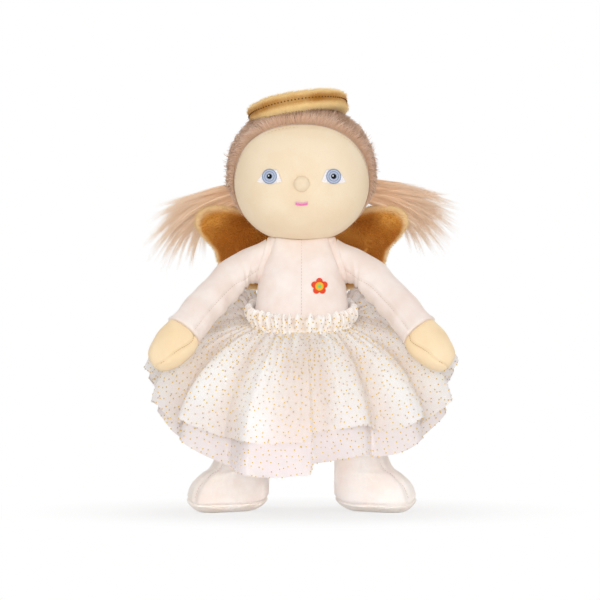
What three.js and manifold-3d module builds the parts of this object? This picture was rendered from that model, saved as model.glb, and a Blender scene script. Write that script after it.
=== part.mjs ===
// A soft angel doll: velour body, plush wings, padded halo, fur hair and a tulle skirt.
// Millimetres, +Z up. The doll faces -Y, its left hand is at +X, and it stands on z = 0.
import * as THREE from "three";
import { mergeVertices } from "three/addons/utils/BufferGeometryUtils.js";
import Module from "manifold-3d";

const wasm = await Module();
wasm.setup();
const { clamp, degToRad, lerp, smoothstep } = THREE.MathUtils;
const { abs, cos, max, min, PI, sign, sin, sqrt } = Math;

// Cloth
const velour = 1.2; // thickness of the velour, felt and plush covers
const tulle = 0.9; // thickness of a skirt layer
const thread = 0.6; // height of the embroidery
const irisThread = 0.9; // the iris is sewn over the white of the eye
const clearance = 0.35; // gap between neighbouring pieces
const fillingGap = 0.9; // between a cover and the filling inside it

// Head
const headWidth = 90;
const headDepth = 80;
const headHeight = 86;
const headSquareness = 2.2; // exponent of the rounded head section
const headForward = 3; // middle of the head in front of the neck
const chinHeight = 175; // underside of the head above the floor
const neckRadius = 15;
const hairPile = 4;
const faceSeamTop = 49; // degrees from the face's axis to the seam of the hair cap
const faceSeamSide = 76;
const faceSeamChin = 100;

// Face, with heights above the underside of the head
const eyeSpacing = 41.5;
const eyeHeight = 42;
const eyeWidth = 15.2;
const eyeTop = 3.6;
const eyeBottom = 4.6;
const irisRadius = 5.2;
const noseHeight = 37;
const noseRadius = 5.2;
const mouthHeight = 24.6;
const mouthWidth = 7.8;
const mouthThickness = 2.4;

// Pigtails
const tailRootRadius = 6;
const tailRootTurn = 127; // degrees from the face's axis round to the root
const tailRootTilt = 104; // degrees from straight up round to the root
const tailLength = 66;
const tailLocks = 6;
const tailSpread = 46; // degrees between the highest and the lowest lock
const tailDroop = 17; // degrees of the middle lock below level
const tailSweep = 26; // degrees that the tail trails behind the wings
const lockRadius = 8;
const lockFlatness = 0.75;
const shortLock = 0.92; // length of every second lock over the others
const lockWander = [-3, 7]; // degrees by which the locks lie before and behind the tail's sweep

// Halo
const haloDiameter = 66;
const haloBand = 14; // height of the padded band
const haloThickness = 11;
const haloGroove = 1.5; // depth of the sewn line round its outside
const haloSquareness = 2.5; // of its section
const haloSlit = 11; // degrees of the section left open on either side of the closing seam
const haloHeight = 259.5; // its middle above the floor
const haloShift = -2.4; // sideways
const haloRoll = -9; // degrees
const haloTip = -9; // degrees, tipped back

// Torso
const seatHeight = 84;
const hipLine = 104;
const hipWidth = 62;
const waistHeight = 132;
const waistWidth = 60;
const shoulderHeight = 162;
const chestWidth = 55;
const collarHeight = 185;
const collarWidth = 44;
const torsoFlatness = 0.82; // depth over width
const torsoSquareness = 2.6;

// Chest embroidery, a small five-petalled flower
const motifRadius = 5.6;
const motifSide = 11.5; // from the centre seam
const motifHeight = 146;
const motifPetals = 5;
const petalDepth = 0.2; // share of the radius

// Arms, with points of the centre line measured from the shoulder
const armholeRadius = 14.8;
const armholeInset = 2; // how far the armhole lies inside the chest's width
const shoulderTilt = 16; // degrees that the armhole looks upwards
const upperArmPoint = [16, -6, -6];
const elbowPoint = [33, -18, -21.5];
const wristPoint = [50, -35, -44.5];
const fingertipPoint = [70.5, -47, -71];
const wristRadius = 12.4;
const handRadius = 13.6;
const handFlatness = 0.76;

// Legs and feet
const hipHeight = 96;
const hipSpacing = 36;
const hipRadius = 17;
const hipBack = 30; // degrees that a leg swings back
const stance = 78; // between the ankles
const ankleHeight = 32;
const ankleRadius = 16.6;
const footRadius = 17.4;
const footExtension = 23; // of the toe in front of the ankle
const toeTurnout = 52; // degrees
const soleHeight = 10;
const soleEdge = 10; // inset of the flat underside below the rounded edge

// Skirt
const bandHeight = 10.5;
const bandMiddle = 128.5; // above the floor
const bandTilt = 7; // rise of the back and fall of the front
const gathers = 22;
const gatherDepth = 1.4;
const elasticThickness = 1;
const elasticHeight = 7;
const skirtWidth = 206; // across the hem
const skirtDepth = 146; // front to back at the hem
const skirtSquareness = 2.6; // of the hem seen from above
const hemDropFront = 103; // hem below the band's middle
const hemDropSide = 48;
const foldLift = 13; // of the hem at the side folds, where the cloth stands out
const skirtBulge = 9; // how far the gathers stand the cloth off a straight line
const skirtFolds = 12;
const foldDepth = 7; // of the folds at the hem
const foldWander = 0.7; // unevenness of the folds' spacing
const overskirtShareFront = 0.8; // length of the outer layer over the under layer
const overskirtShareSide = 0.93;
const layerGap = 5.5; // between the two hems

// Wings, with outline points across and up from the shoulder height at the back seam
const wingSeam = 8.5; // from the middle of the back
const wingThickness = 12;
const wingStandoff = 9.5; // of the wing's middle plane behind its seam
const wingRoot = 12; // how far the wing bends in to the seam
const wingLean = 6; // degrees that its top leans to the head
const wingOutline = [
  [0.6, -14],
  [0.6, 10],
  [14, 23.5],
  [31, 34.5],
  [50, 36.5],
  [59, 32.5],
  [61.5, 25],
  [56.5, 16],
  [49.5, 8],
  [46, -3],
  [43, -13],
  [34, -20.5],
  [21, -24],
  [8, -22],
];

// Materials
const materialOf = (color, roughness = 0.9) =>
  new THREE.MeshStandardMaterial({ color, roughness, metalness: 0 });
const skinVelour = materialOf(0xf4dfc2);
const bodyVelour = materialOf(0xf9ebe3);
const handFelt = materialOf(0xfae0b8);
const hairFur = materialOf(0xcba68a);
const tailFur = materialOf(0xd8b38f);
const goldPlush = materialOf(0xb06d1f);
const haloPlush = materialOf(0xd9a45c);
const whiteTulle = materialOf(0xf5ebe6, 0.8);
const fibrefill = materialOf(0xffffff, 1);
const elasticWeb = materialOf(0xf4f1ec);
const eyeThread = materialOf(0x9db0d8, 0.6);
const lipThread = materialOf(0xf48fc0, 0.6);
const motifThread = materialOf(0xe8502a, 0.6);

// A closed geometry from triangles given as triples of points.
// Triangles that collapse at a pole are left out.
function closedGeometry(triangles) {
  const soup = new THREE.BufferGeometry();
  const corners = triangles.flatMap((triangle) => triangle.flatMap((point) => point.toArray()));
  soup.setAttribute("position", new THREE.Float32BufferAttribute(corners, 3));
  const merged = mergeVertices(soup, 1e-3);
  const place = merged.getAttribute("position");
  const kept = [];
  let volume = 0;
  const [a, b, c] = [new THREE.Vector3(), new THREE.Vector3(), new THREE.Vector3()];
  for (let k = 0; k < merged.index.count; k += 3) {
    const [i, j, l] = [0, 1, 2].map((n) => merged.index.getX(k + n));
    if (i === j || j === l || l === i) continue;
    kept.push([i, j, l]);
    a.fromBufferAttribute(place, i);
    b.fromBufferAttribute(place, j);
    c.fromBufferAttribute(place, l);
    volume += a.dot(b.cross(c));
  }
  merged.setIndex(kept.flatMap(([i, j, l]) => (volume < 0 ? [i, l, j] : [i, j, l])));
  merged.computeVertexNormals();
  return merged;
}

// Rows of points of a surface(u, v, depth), where depth is measured inwards from the outside.
function sampleRows(surface, around, along, depth) {
  const rows = [];
  for (let j = 0; j <= along; j++) {
    const row = [];
    for (let i = 0; i <= around; i++) row.push(surface(i / around, j / along, depth));
    rows.push(row);
  }
  return rows;
}

// The triangles of a grid of points
function gridTriangles(rows) {
  const triangles = [];
  for (let j = 0; j + 1 < rows.length; j++) {
    for (let i = 0; i + 1 < rows[j].length; i++) {
      triangles.push([rows[j][i], rows[j][i + 1], rows[j + 1][i + 1]]);
      triangles.push([rows[j][i], rows[j + 1][i + 1], rows[j + 1][i]]);
    }
  }
  return triangles;
}

// A sheet of cloth that follows a surface between two depths, closed along its free edges
function panel(surface, around, along, outside = 0, inside = velour) {
  const outer = sampleRows(surface, around, along, outside);
  const inner = sampleRows(surface, around, along, inside);
  const triangles = [
    ...gridTriangles(outer),
    ...gridTriangles([...inner].reverse()),
    ...gridTriangles([inner[0], outer[0]]),
    ...gridTriangles([outer[along], inner[along]]),
  ];
  const isRing = outer[along >> 1][0].distanceTo(outer[along >> 1][around]) < 1e-6;
  if (!isRing) {
    const column = (rows, i) => rows.map((row) => row[i]);
    triangles.push(...gridTriangles([column(outer, 0), column(inner, 0)]));
    triangles.push(...gridTriangles([column(inner, around), column(outer, around)]));
  }
  return closedGeometry(triangles);
}

// A solid body under a surface that closes round on itself, with its ends capped
function body(surface, around, along, depth = 0) {
  const rows = sampleRows(surface, around, along, depth);
  const capOf = (row) => {
    const middle = new THREE.Vector3();
    row.slice(1).forEach((point) => middle.addScaledVector(point, 1 / around));
    return row.map(() => middle);
  };
  return closedGeometry(gridTriangles([capOf(rows[0]), ...rows, capOf(rows[along])]));
}

// A ring whose section closes on itself as well
function hoop(surface, around, sectionSteps) {
  return closedGeometry(gridTriangles(sampleRows(surface, around, sectionSteps, 0)));
}

function solidOf(geometry) {
  const bare = new THREE.BufferGeometry();
  bare.setAttribute("position", geometry.getAttribute("position").clone());
  bare.setIndex(geometry.index ? geometry.index.clone() : null);
  const merged = mergeVertices(bare, 1e-3);
  return new wasm.Manifold(
    new wasm.Mesh({
      numProp: 3,
      vertProperties: new Float32Array(merged.getAttribute("position").array),
      triVerts: new Uint32Array(merged.index.array),
    }),
  );
}

function geometryOf(solid) {
  const mesh = solid.getMesh();
  const geometry = new THREE.BufferGeometry();
  const points = [];
  for (let k = 0; k < mesh.vertProperties.length; k += mesh.numProp) {
    points.push(...mesh.vertProperties.slice(k, k + 3));
  }
  geometry.setAttribute("position", new THREE.Float32BufferAttribute(points, 3));
  geometry.setIndex([...mesh.triVerts]);
  geometry.computeVertexNormals();
  return geometry;
}

const cut = (geometry, ...cutters) =>
  geometryOf(cutters.reduce((left, cutter) => left.subtract(solidOf(cutter)), solidOf(geometry)));

const join = (first, ...rest) =>
  geometryOf(rest.reduce((sum, next) => sum.add(solidOf(next)), solidOf(first)));

// The same piece for the other side of the doll
function mirrored(geometry) {
  const other = geometry.clone();
  other.scale(-1, 1, 1);
  const index = [...other.index.array];
  for (let k = 0; k < index.length; k += 3) [index[k + 1], index[k + 2]] = [index[k + 2], index[k + 1]];
  other.setIndex(index);
  other.computeVertexNormals();
  return other;
}

function piece(name, geometry, material) {
  const mesh = new THREE.Mesh(geometry, material);
  mesh.name = name;
  return mesh;
}

function groupAt(place, ...children) {
  const group = new THREE.Group();
  group.position.copy(place);
  group.add(...children);
  return group;
}

// A round section of any squareness: the point at a turn from the front towards the left side
function squareRound(turn, halfWidth, halfDepth, squareness) {
  const across = sign(sin(turn)) * abs(sin(turn)) ** (2 / squareness);
  const ahead = sign(cos(turn)) * abs(cos(turn)) ** (2 / squareness);
  return new THREE.Vector3(halfWidth * across, -halfDepth * ahead, 0);
}

// HEAD, in its own frame with its middle at the origin
const headCentre = new THREE.Vector3(0, -headForward, chinHeight + headHeight / 2);
const headHalf = new THREE.Vector3(headWidth / 2, headDepth / 2, headHeight / 2);

// The head's surface at an angle from the face's axis and a turn from straight up, moved out
// by some distance and by a share of the hair's pile, which thins out towards the nape
function headPoint(angle, turn, outwards = 0, pileShare = 0) {
  const way = new THREE.Vector3(sin(angle) * sin(turn), -cos(angle), sin(angle) * cos(turn));
  const shares = ["x", "y", "z"].map((axis) => abs(way[axis] / headHalf[axis]) ** headSquareness);
  const reach = (shares[0] + shares[1] + shares[2]) ** (-1 / headSquareness);
  const pile = pileShare * hairPile * smoothstep(way.z, -0.95, -0.6);
  return way.multiplyScalar(reach + outwards + pile);
}

// A point on the front of the head by its place across and up
function facePoint(across, up, outwards = 0) {
  const left = 1 - abs(across / headHalf.x) ** headSquareness - abs(up / headHalf.z) ** headSquareness;
  return new THREE.Vector3(across, -headHalf.y * max(left, 0) ** (1 / headSquareness) - outwards, up);
}

function faceSeam(turn) {
  const down = (1 - cos(turn)) / 2;
  const sideSwell = faceSeamSide - (faceSeamTop + faceSeamChin) / 2;
  return degToRad(lerp(faceSeamTop, faceSeamChin, down) + sideSwell * sin(turn) ** 4);
}

const headAround = 24;
const seamAngle = clearance / headHalf.x;
const neckOpening = new THREE.CylinderGeometry(neckRadius, neckRadius, headHeight, headAround)
  .rotateX(PI / 2)
  .translate(0, headForward, -headHeight / 2);

const facePanel = cut(
  panel((u, v, depth) => headPoint(v * faceSeam(2 * PI * u), 2 * PI * u, -depth), headAround, 6),
  neckOpening,
);
// The hair cap runs from the tips of its pile, at a depth of 0, to the back of its cloth, at a depth of 1
const hairSurface = (u, v, depth) => {
  const turn = 2 * PI * u;
  return headPoint(lerp(faceSeam(turn) + seamAngle, PI, v), turn, -depth * velour, 1 - depth);
};
const hairCap = cut(panel(hairSurface, headAround, 8, 0, 1), neckOpening);
const headBody = (outwards, pileShare) =>
  body((u, v) => headPoint(PI * v, 2 * PI * u, outwards, pileShare), headAround, 12);
const headFilling = headBody(-velour - fillingGap, 0);

// Embroidery on the front of the head: a patch between a middle and an outline(turn) of [across, up]
function facePatch(across, up, outline, around, height) {
  const surface = (u, v, depth) => {
    const [dx, dz] = outline(2 * PI * u);
    return facePoint(across + v * dx, up + v * dz, -depth);
  };
  return panel(surface, around, 1, -clearance - height, -clearance);
}

const eyeUp = eyeHeight - headHeight / 2;
const almond = (turn) => [
  (cos(turn) * eyeWidth) / 2,
  sin(turn) * (sin(turn) > 0 ? eyeTop : eyeBottom),
];
const irisRing = (turn) => [cos(turn) * irisRadius, sin(turn) * irisRadius];
const leftEye = join(
  facePatch(eyeSpacing / 2, eyeUp, almond, 12, thread),
  facePatch(eyeSpacing / 2, eyeUp, irisRing, 12, irisThread),
);
const smile = (turn) => [
  (cos(turn) * mouthWidth) / 2,
  (sin(turn) * mouthThickness) / 2 + (mouthThickness / 3) * cos(turn) ** 2,
];
const mouth = facePatch(0, mouthHeight - headHeight / 2, smile, 12, thread);
const noseUp = noseHeight - headHeight / 2;
const nose = cut(
  new THREE.SphereGeometry(noseRadius, 12, 8).translate(...facePoint(0, noseUp).toArray()),
  headBody(2 * clearance, 0),
);

// Pigtail, in the frame of its root: locks that fan out and taper
function lockGeometry(index) {
  const share = index / (tailLocks - 1) - 0.5;
  const drop = degToRad(tailDroop + share * tailSpread);
  const back = degToRad(tailSweep + lockWander[index % 2]);
  const length = tailLength * (index % 2 ? shortLock : 1);
  const way = new THREE.Vector3(cos(drop) * cos(back), sin(back), -sin(drop));
  const tip = way.clone().multiplyScalar(length);
  const bow = new THREE.Vector3(0.45, 0.1 + 0.3 * sin(back), -0.12 * share).multiplyScalar(length);
  const line = new THREE.QuadraticBezierCurve3(new THREE.Vector3(), bow, tip);
  const surface = (u, v) => {
    const ahead = line.getTangent(v);
    const side = new THREE.Vector3(0, 0, 1).cross(ahead).normalize();
    const up = ahead.clone().cross(side);
    const swell = lerp(tailRootRadius, lockRadius, smoothstep(v, 0, 0.5));
    const radius = swell * (1 - smoothstep(v, 0.45, 1.05));
    const turn = 2 * PI * u;
    const point = line.getPoint(v).addScaledVector(up, radius * sin(turn));
    return point.addScaledVector(side, lockFlatness * radius * cos(turn));
  };
  return body(surface, 6, 5);
}

const tailRootWay = [degToRad(tailRootTurn), degToRad(tailRootTilt)];
const tailRoot = headPoint(...tailRootWay, clearance + tailRootRadius, 1);
const leftTail = cut(
  join(
    new THREE.SphereGeometry(tailRootRadius, 10, 6),
    ...Array.from({ length: tailLocks }, (_, index) => lockGeometry(index)),
  ),
  headBody(2 * clearance, 1).translate(...tailRoot.clone().negate().toArray()),
);

// Halo: a padded band with a sewn line round its outside, slit inside where it was turned and closed
const haloMiddleRadius = (haloDiameter - haloThickness) / 2;
const haloSteps = 26;

function haloSection(turn, depth) {
  const groove = haloGroove * max(0, 1 - abs(turn) / 0.5);
  const half = [haloThickness / 2 - depth, haloBand / 2 - depth];
  const point = squareRound(turn + PI / 2, ...half, haloSquareness);
  return new THREE.Vector2(haloMiddleRadius + point.x - groove, -point.y);
}

function haloCoverGeometry() {
  const steps = 8;
  const end = PI - degToRad(haloSlit);
  const turnAt = (k) => lerp(-end, end, k / steps);
  const outline = [];
  for (let k = 0; k <= steps; k++) outline.push(haloSection(turnAt(k), 0));
  for (let k = steps; k >= 0; k--) outline.push(haloSection(turnAt(k), velour));
  return hoop((u, v) => {
    const point = outline[Math.round(v * outline.length) % outline.length];
    return new THREE.Vector3(point.x * cos(2 * PI * u), point.x * sin(2 * PI * u), point.y);
  }, haloSteps, outline.length);
}

const haloFillingGeometry = hoop((u, v) => {
  const point = haloSection(2 * PI * v - PI, velour + fillingGap / 2);
  return new THREE.Vector3(point.x * cos(2 * PI * u), point.x * sin(2 * PI * u), point.y);
}, haloSteps, 8);

const halo = new THREE.Group();
halo.position.set(haloShift, 0, haloHeight - headCentre.z);
halo.rotation.set(degToRad(haloTip), degToRad(haloRoll), 0);
halo.updateMatrix();
const headUnderHalo = (outwards) => headBody(outwards, 1).applyMatrix4(halo.matrix.clone().invert());
const haloCover = cut(haloCoverGeometry(), headUnderHalo(2 * clearance));
const haloFilling = cut(haloFillingGeometry, headUnderHalo(2 * clearance + velour));
halo.add(piece("halo_cover", haloCover, haloPlush), piece("halo_filling", haloFilling, fibrefill));

const tailAt = (side) => new THREE.Vector3(side * tailRoot.x, tailRoot.y, tailRoot.z);
const head = groupAt(
  headCentre,
  piece("face_panel", facePanel, skinVelour),
  piece("hair_cap", hairCap, hairFur),
  piece("head_filling", headFilling, fibrefill),
  piece("nose", nose, skinVelour),
  piece("left_eye", leftEye, eyeThread),
  piece("right_eye", mirrored(leftEye), eyeThread),
  piece("mouth", mouth, lipThread),
  halo,
  groupAt(tailAt(1), piece("left_pigtail", leftTail, tailFur)),
  groupAt(tailAt(-1), piece("right_pigtail", mirrored(leftTail), tailFur)),
);

// TORSO, in the doll's frame
const torsoProfile = new THREE.SplineCurve([
  new THREE.Vector2(0, seatHeight),
  new THREE.Vector2(0.36 * hipWidth, lerp(seatHeight, hipLine, 0.15)),
  new THREE.Vector2(hipWidth / 2, hipLine),
  new THREE.Vector2(waistWidth / 2, waistHeight),
  new THREE.Vector2(chestWidth / 2, shoulderHeight),
  new THREE.Vector2(collarWidth / 2, collarHeight),
]);

const torsoRows = 9;
const torsoAround = 22;
const frontAround = 8;
const backAround = 14;

function torsoPoint(turn, v, depth = 0) {
  const edge = torsoProfile.getPoint(v);
  const way = torsoProfile.getTangent(v);
  const halfWidth = v === 0 ? 0 : max(edge.x - way.y * depth, 0);
  const height = edge.y + way.x * depth;
  return squareRound(turn, halfWidth, halfWidth * torsoFlatness, torsoSquareness).setZ(height);
}

// The armhole's plane: the point where the arm is sewn on and the way it looks
const shoulder = new THREE.Vector3(chestWidth / 2 - armholeInset, 0, shoulderHeight);
const armholeWay = new THREE.Vector3(cos(degToRad(shoulderTilt)), 0, sin(degToRad(shoulderTilt)));
const armholeCutter = () => {
  const reach = chestWidth;
  const cutter = new THREE.CylinderGeometry(armholeRadius + velour, armholeRadius + velour, reach, 24);
  cutter.rotateZ(-PI / 2).translate(reach / 2 - clearance, 0, 0).rotateY(-degToRad(shoulderTilt));
  return cutter.translate(...shoulder.toArray());
};

// The room in which a leg swings, from straight out in front to some way behind
function legRoom() {
  const reach = hipRadius + clearance;
  const far = 4 * hipRadius;
  const back = degToRad(hipBack);
  const outline = new THREE.Shape();
  outline.moveTo(-far, reach);
  outline.lineTo(0, reach);
  outline.absarc(0, 0, reach, PI / 2, back, true);
  outline.lineTo(reach * cos(back) + far * sin(back), reach * sin(back) - far * cos(back));
  outline.lineTo(-far, -far);
  outline.closePath();
  const width = hipSpacing + 4 * hipRadius;
  return new THREE.ExtrudeGeometry(outline, { depth: width, bevelEnabled: false, curveSegments: 10 })
    .applyMatrix4(new THREE.Matrix4().makeBasis(
      new THREE.Vector3(0, 1, 0),
      new THREE.Vector3(0, 0, 1),
      new THREE.Vector3(1, 0, 0),
    ))
    .translate(-width / 2, 0, hipHeight);
}

// The room that the head's underside takes up as it turns: its widest outline, spun round the neck
function headRoom() {
  const upTo = degToRad(62); // from straight down
  const outline = [new THREE.Vector2(0, headPoint(PI / 2, PI, clearance, 1).z)];
  for (let k = 0; k <= 6; k++) {
    const edge = headPoint(PI / 2, PI - (k / 6) * upTo, clearance, 1);
    outline.push(new THREE.Vector2(edge.x + headForward, edge.z));
  }
  outline.push(new THREE.Vector2(0, outline.at(-1).y));
  return new THREE.LatheGeometry(outline, headAround).rotateX(PI / 2).translate(0, 0, headCentre.z);
}

const torsoCutters = [armholeCutter(), mirrored(armholeCutter()), legRoom(), headRoom()];

function torsoPanel(fromTurn, toTurn, around) {
  const seam = clearance / hipWidth;
  const turnAt = (u) => lerp(degToRad(fromTurn) + seam, degToRad(toTurn) - seam, u);
  const surface = (u, v, depth) => torsoPoint(turnAt(u), v, depth);
  return cut(panel(surface, around, torsoRows), ...torsoCutters);
}

const torsoFilling = cut(
  body((u, v) => torsoPoint(2 * PI * u, v, velour + fillingGap), torsoAround, torsoRows),
  ...torsoCutters,
);

// Half of the torso's width at a height
function torsoHalfWidth(height) {
  let v = 0.5;
  for (let k = 0; k < 12; k++) v += (height - torsoProfile.getPoint(clamp(v, 0, 1)).y) / (2 * collarHeight);
  return torsoProfile.getPoint(clamp(v, 0, 1)).x;
}

// How deep the torso is from its middle at a place across and a height
function torsoHalfDepth(across, height) {
  const halfWidth = torsoHalfWidth(height);
  const left = 1 - abs(across / halfWidth) ** torsoSquareness;
  return halfWidth * torsoFlatness * left ** (1 / torsoSquareness);
}

// Embroidery on the left of the chest
function motifGeometry() {
  const ringAt = (turn) => motifRadius * (1 - petalDepth + petalDepth * cos(motifPetals * turn));
  const surface = (u, v, depth) => {
    const turn = 2 * PI * u;
    const across = motifSide + v * ringAt(turn) * sin(turn);
    const height = motifHeight + v * ringAt(turn) * cos(turn);
    return new THREE.Vector3(across, depth - torsoHalfDepth(across, height), height);
  };
  return panel(surface, 4 * motifPetals, 2, -clearance - thread, -clearance);
}

// ARMS, in the frame of the shoulder
const armPoints = [[0, 0, 0], upperArmPoint, elbowPoint, wristPoint, fingertipPoint];
const armLine = new THREE.CatmullRomCurve3(armPoints.map((point) => new THREE.Vector3(...point)));
const wristAt = 0.75; // the fourth of the line's five points
const armLength = armLine.getLength();

function armRadius(t) {
  if (t < wristAt) return lerp(armholeRadius, wristRadius, t / wristAt);
  const s = (t - wristAt) / (1 - wristAt);
  return lerp(wristRadius, handRadius, smoothstep(s, 0, 0.4)) * sqrt(max(0, 1 - s ** 3.2));
}

function armPoint(turn, t, depth) {
  const middle = armLine.getPoint(t * (1 - depth / armLength));
  const ahead = armholeWay.clone().lerp(armLine.getTangent(t), smoothstep(t, 0, 0.4)).normalize();
  const side = new THREE.Vector3(0, 1, 0).addScaledVector(ahead, -ahead.y).normalize();
  const up = ahead.clone().cross(side);
  const radius = max(armRadius(t) - depth, 0);
  const flat = lerp(1, handFlatness, smoothstep(t, 0.4, 0.9));
  middle.addScaledVector(side, radius * flat * cos(turn));
  return middle.addScaledVector(up, radius * sin(turn));
}

const cuffGap = clearance / armLength;
const armAround = 12;
const leftSleeve = panel((u, v, depth) => armPoint(2 * PI * u, v * wristAt, depth), armAround, 7);
const leftHand = panel(
  (u, v, depth) => armPoint(2 * PI * u, lerp(wristAt + cuffGap, 1, sin((v * PI) / 2)), depth),
  armAround,
  6,
);
const armFilling = body(
  (u, v) => armPoint(2 * PI * u, sin((v * PI) / 2), velour + fillingGap),
  armAround,
  9,
);

// LEGS, in the frame of the hip
const ankle = new THREE.Vector3((stance - hipSpacing) / 2, 0, ankleHeight - hipHeight);
const legWay = ankle.clone().normalize();
const toeWay = new THREE.Vector3(sin(degToRad(toeTurnout)), -cos(degToRad(toeTurnout)), 0);

// Sections from the hip's rounded end down to the seam of the sole:
// middle, radius, reach of the toe and how level they lie
function legSections() {
  const ballTurns = [30, 60, 90].map(degToRad);
  const ball = ballTurns.map((turn) => ({
    middle: legWay.clone().multiplyScalar(-hipRadius * cos(turn)),
    radius: hipRadius * sin(turn),
    toe: 0,
    level: 0,
  }));
  const knee = {
    middle: ankle.clone().multiplyScalar(0.5),
    radius: (hipRadius + ankleRadius) / 2,
    toe: 0,
    level: 0.3,
  };
  const below = (share, radius, toe) => ({
    middle: ankle.clone().setZ(lerp(ankle.z, soleHeight - hipHeight, share)),
    radius,
    toe: toe * footExtension,
    level: 1,
  });
  return [
    ...ball,
    knee,
    { middle: ankle.clone(), radius: ankleRadius, toe: 0.08 * footExtension, level: 1 },
    below(0.34, lerp(ankleRadius, footRadius, 0.6), 0.55),
    below(0.66, footRadius, 0.92),
    below(1, footRadius, 1),
  ];
}

const sections = legSections();

function legPoint(turn, v, depth) {
  const place = v * (sections.length - 1);
  const above = min(Math.floor(place), sections.length - 2);
  const [from, to] = [sections[above], sections[above + 1]];
  const share = place - above;
  const mix = (key) => lerp(from[key], to[key], share);
  const down = legWay.clone().lerp(new THREE.Vector3(0, 0, -1), mix("level")).normalize();
  const side = new THREE.Vector3(1, 0, 0).addScaledVector(down, -down.x).normalize();
  const ahead = down.clone().cross(side);
  const way = side.multiplyScalar(cos(turn)).addScaledVector(ahead, sin(turn));
  const reach = smoothstep(way.dot(toeWay), -0.35, 0.75) * mix("toe");
  const middle = from.middle.clone().lerp(to.middle, share);
  return middle.addScaledVector(way, mix("radius") - depth).addScaledVector(toeWay, reach);
}

const legAround = 16;
const legRows = sections.length - 1;
const leftLeg = panel((u, v, depth) => legPoint(2 * PI * u, v, depth), legAround, legRows);
const legFilling = body((u, v) => legPoint(2 * PI * u, v, velour + fillingGap), legAround, legRows);
const solePoint = (u, v) => {
  const inset = soleEdge * (1 - v) ** 2;
  return legPoint(2 * PI * u, 1, inset).setZ(lerp(0, soleHeight - clearance, v) - hipHeight);
};
const leftSole = body(solePoint, legAround, 3);

// SKIRT, in the doll's frame: a gathered casing over elastic, an under layer and a shorter layer over it
const bandInside = hipWidth / 2 + clearance;
const casing = 2 * tulle + 2 * clearance + elasticThickness; // from its inner to its outer face
const bandHeightAt = (turn) => bandMiddle - bandTilt * cos(turn);

// A point of the band at a turn, some way out from the torso and above the band's lower edge
function bandPoint(turn, outwards, above) {
  const halfWidth = bandInside + outwards;
  const halfDepth = (bandInside - clearance) * torsoFlatness + clearance + outwards;
  const lower = bandHeightAt(turn) - bandHeight / 2;
  return squareRound(turn, halfWidth, halfDepth, torsoSquareness).setZ(lower + above);
}

const casingSection = [
  [0, 0],
  [0, 1],
  [1, 1],
  [1, 0],
];

function waistbandGeometry() {
  const outline = [
    ...casingSection.map(([out, up]) => [out * casing, up * bandHeight, out]),
    [casing - tulle, 0, 1],
    [casing - tulle, bandHeight - tulle, 1],
    [tulle, bandHeight - tulle, 0],
    [tulle, 0, 0],
  ];
  return hoop((u, v) => {
    const turn = 2 * PI * u;
    const [out, up, outer] = outline[Math.round(v * outline.length) % outline.length];
    const ripple = (gatherDepth * (1 + cos(gathers * turn))) / 2;
    return bandPoint(turn, out + outer * ripple, up);
  }, 4 * gathers, outline.length);
}

const elasticAround = 48;
const elasticLow = (bandHeight - tulle - elasticHeight) / 2;
const waistElastic = hoop((u, v) => {
  const [out, up] = casingSection[Math.round(v * casingSection.length) % casingSection.length];
  return bandPoint(2 * PI * u, tulle + clearance + out * elasticThickness, elasticLow + up * elasticHeight);
}, elasticAround, casingSection.length);

// The skirt's surface from the band (share 0) to the hem (share 1), hung some way out
// from the band's inside, a little lower further in
function skirtPoint(turn, share, hungAt) {
  const top = bandPoint(turn, hungAt, -clearance - (casing - hungAt) / 2);
  const fold = cos(skirtFolds * turn + PI + foldWander * sin(2 * turn));
  const drop = lerp(hemDropFront, hemDropSide, sin(turn) ** 4) - foldLift * fold * sin(turn) ** 4;
  const hem = squareRound(turn, skirtWidth / 2, skirtDepth / 2, skirtSquareness).setZ(bandMiddle - drop);
  const outwards = new THREE.Vector3(sin(turn), -cos(turn), 0.5).normalize();
  const line = top.lerp(hem, share).addScaledVector(outwards, skirtBulge * 4 * share * (1 - share));
  return line.addScaledVector(outwards.setZ(0).normalize(), foldDepth * share ** 1.4 * (fold - 1));
}

// The outward way of the skirt's cloth
function skirtWay(turn, share, hungAt) {
  const step = 0.01;
  const round = skirtPoint(turn + step, share, hungAt).sub(skirtPoint(turn - step, share, hungAt));
  const lower = skirtPoint(turn, min(share + step, 1), hungAt);
  const upper = skirtPoint(turn, max(share - step, 0), hungAt);
  return lower.sub(upper).cross(round).normalize();
}

const underLayer = (u, v, depth) => {
  const turn = 2 * PI * u;
  return skirtPoint(turn, v, tulle).addScaledVector(skirtWay(turn, v, tulle), -depth);
};
const overLayer = (u, v, depth) => {
  const turn = 2 * PI * u;
  const share = v * lerp(overskirtShareFront, overskirtShareSide, sin(turn) ** 2);
  const off = sqrt(v) * layerGap - depth;
  return skirtPoint(turn, share, casing).addScaledVector(skirtWay(turn, share, casing), off);
};
const skirtUnder = panel(underLayer, 6 * skirtFolds, 5, 0, tulle);
const skirtOver = panel(overLayer, 6 * skirtFolds, 5, 0, tulle);

// WINGS, in the frame of the seam on the back: two plush panels over a filling
const wingCurve = new THREE.CatmullRomCurve3(
  wingOutline.map(([across, up]) => new THREE.Vector3(across, 0, up)),
  true,
  "centripetal",
);
const wingAround = 26;
const wingRows = 3;
const wingMiddle = new THREE.Vector3();
for (let k = 0; k < wingAround; k++) {
  wingMiddle.addScaledVector(wingCurve.getPoint(k / wingAround), 1 / wingAround);
}
const wingEdge = velour + clearance / 2; // half of the thickness where the panels meet
const wingHalf = (share) => wingEdge + (wingThickness / 2 - wingEdge) * (1 - share ** 2) ** 0.7;

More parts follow.
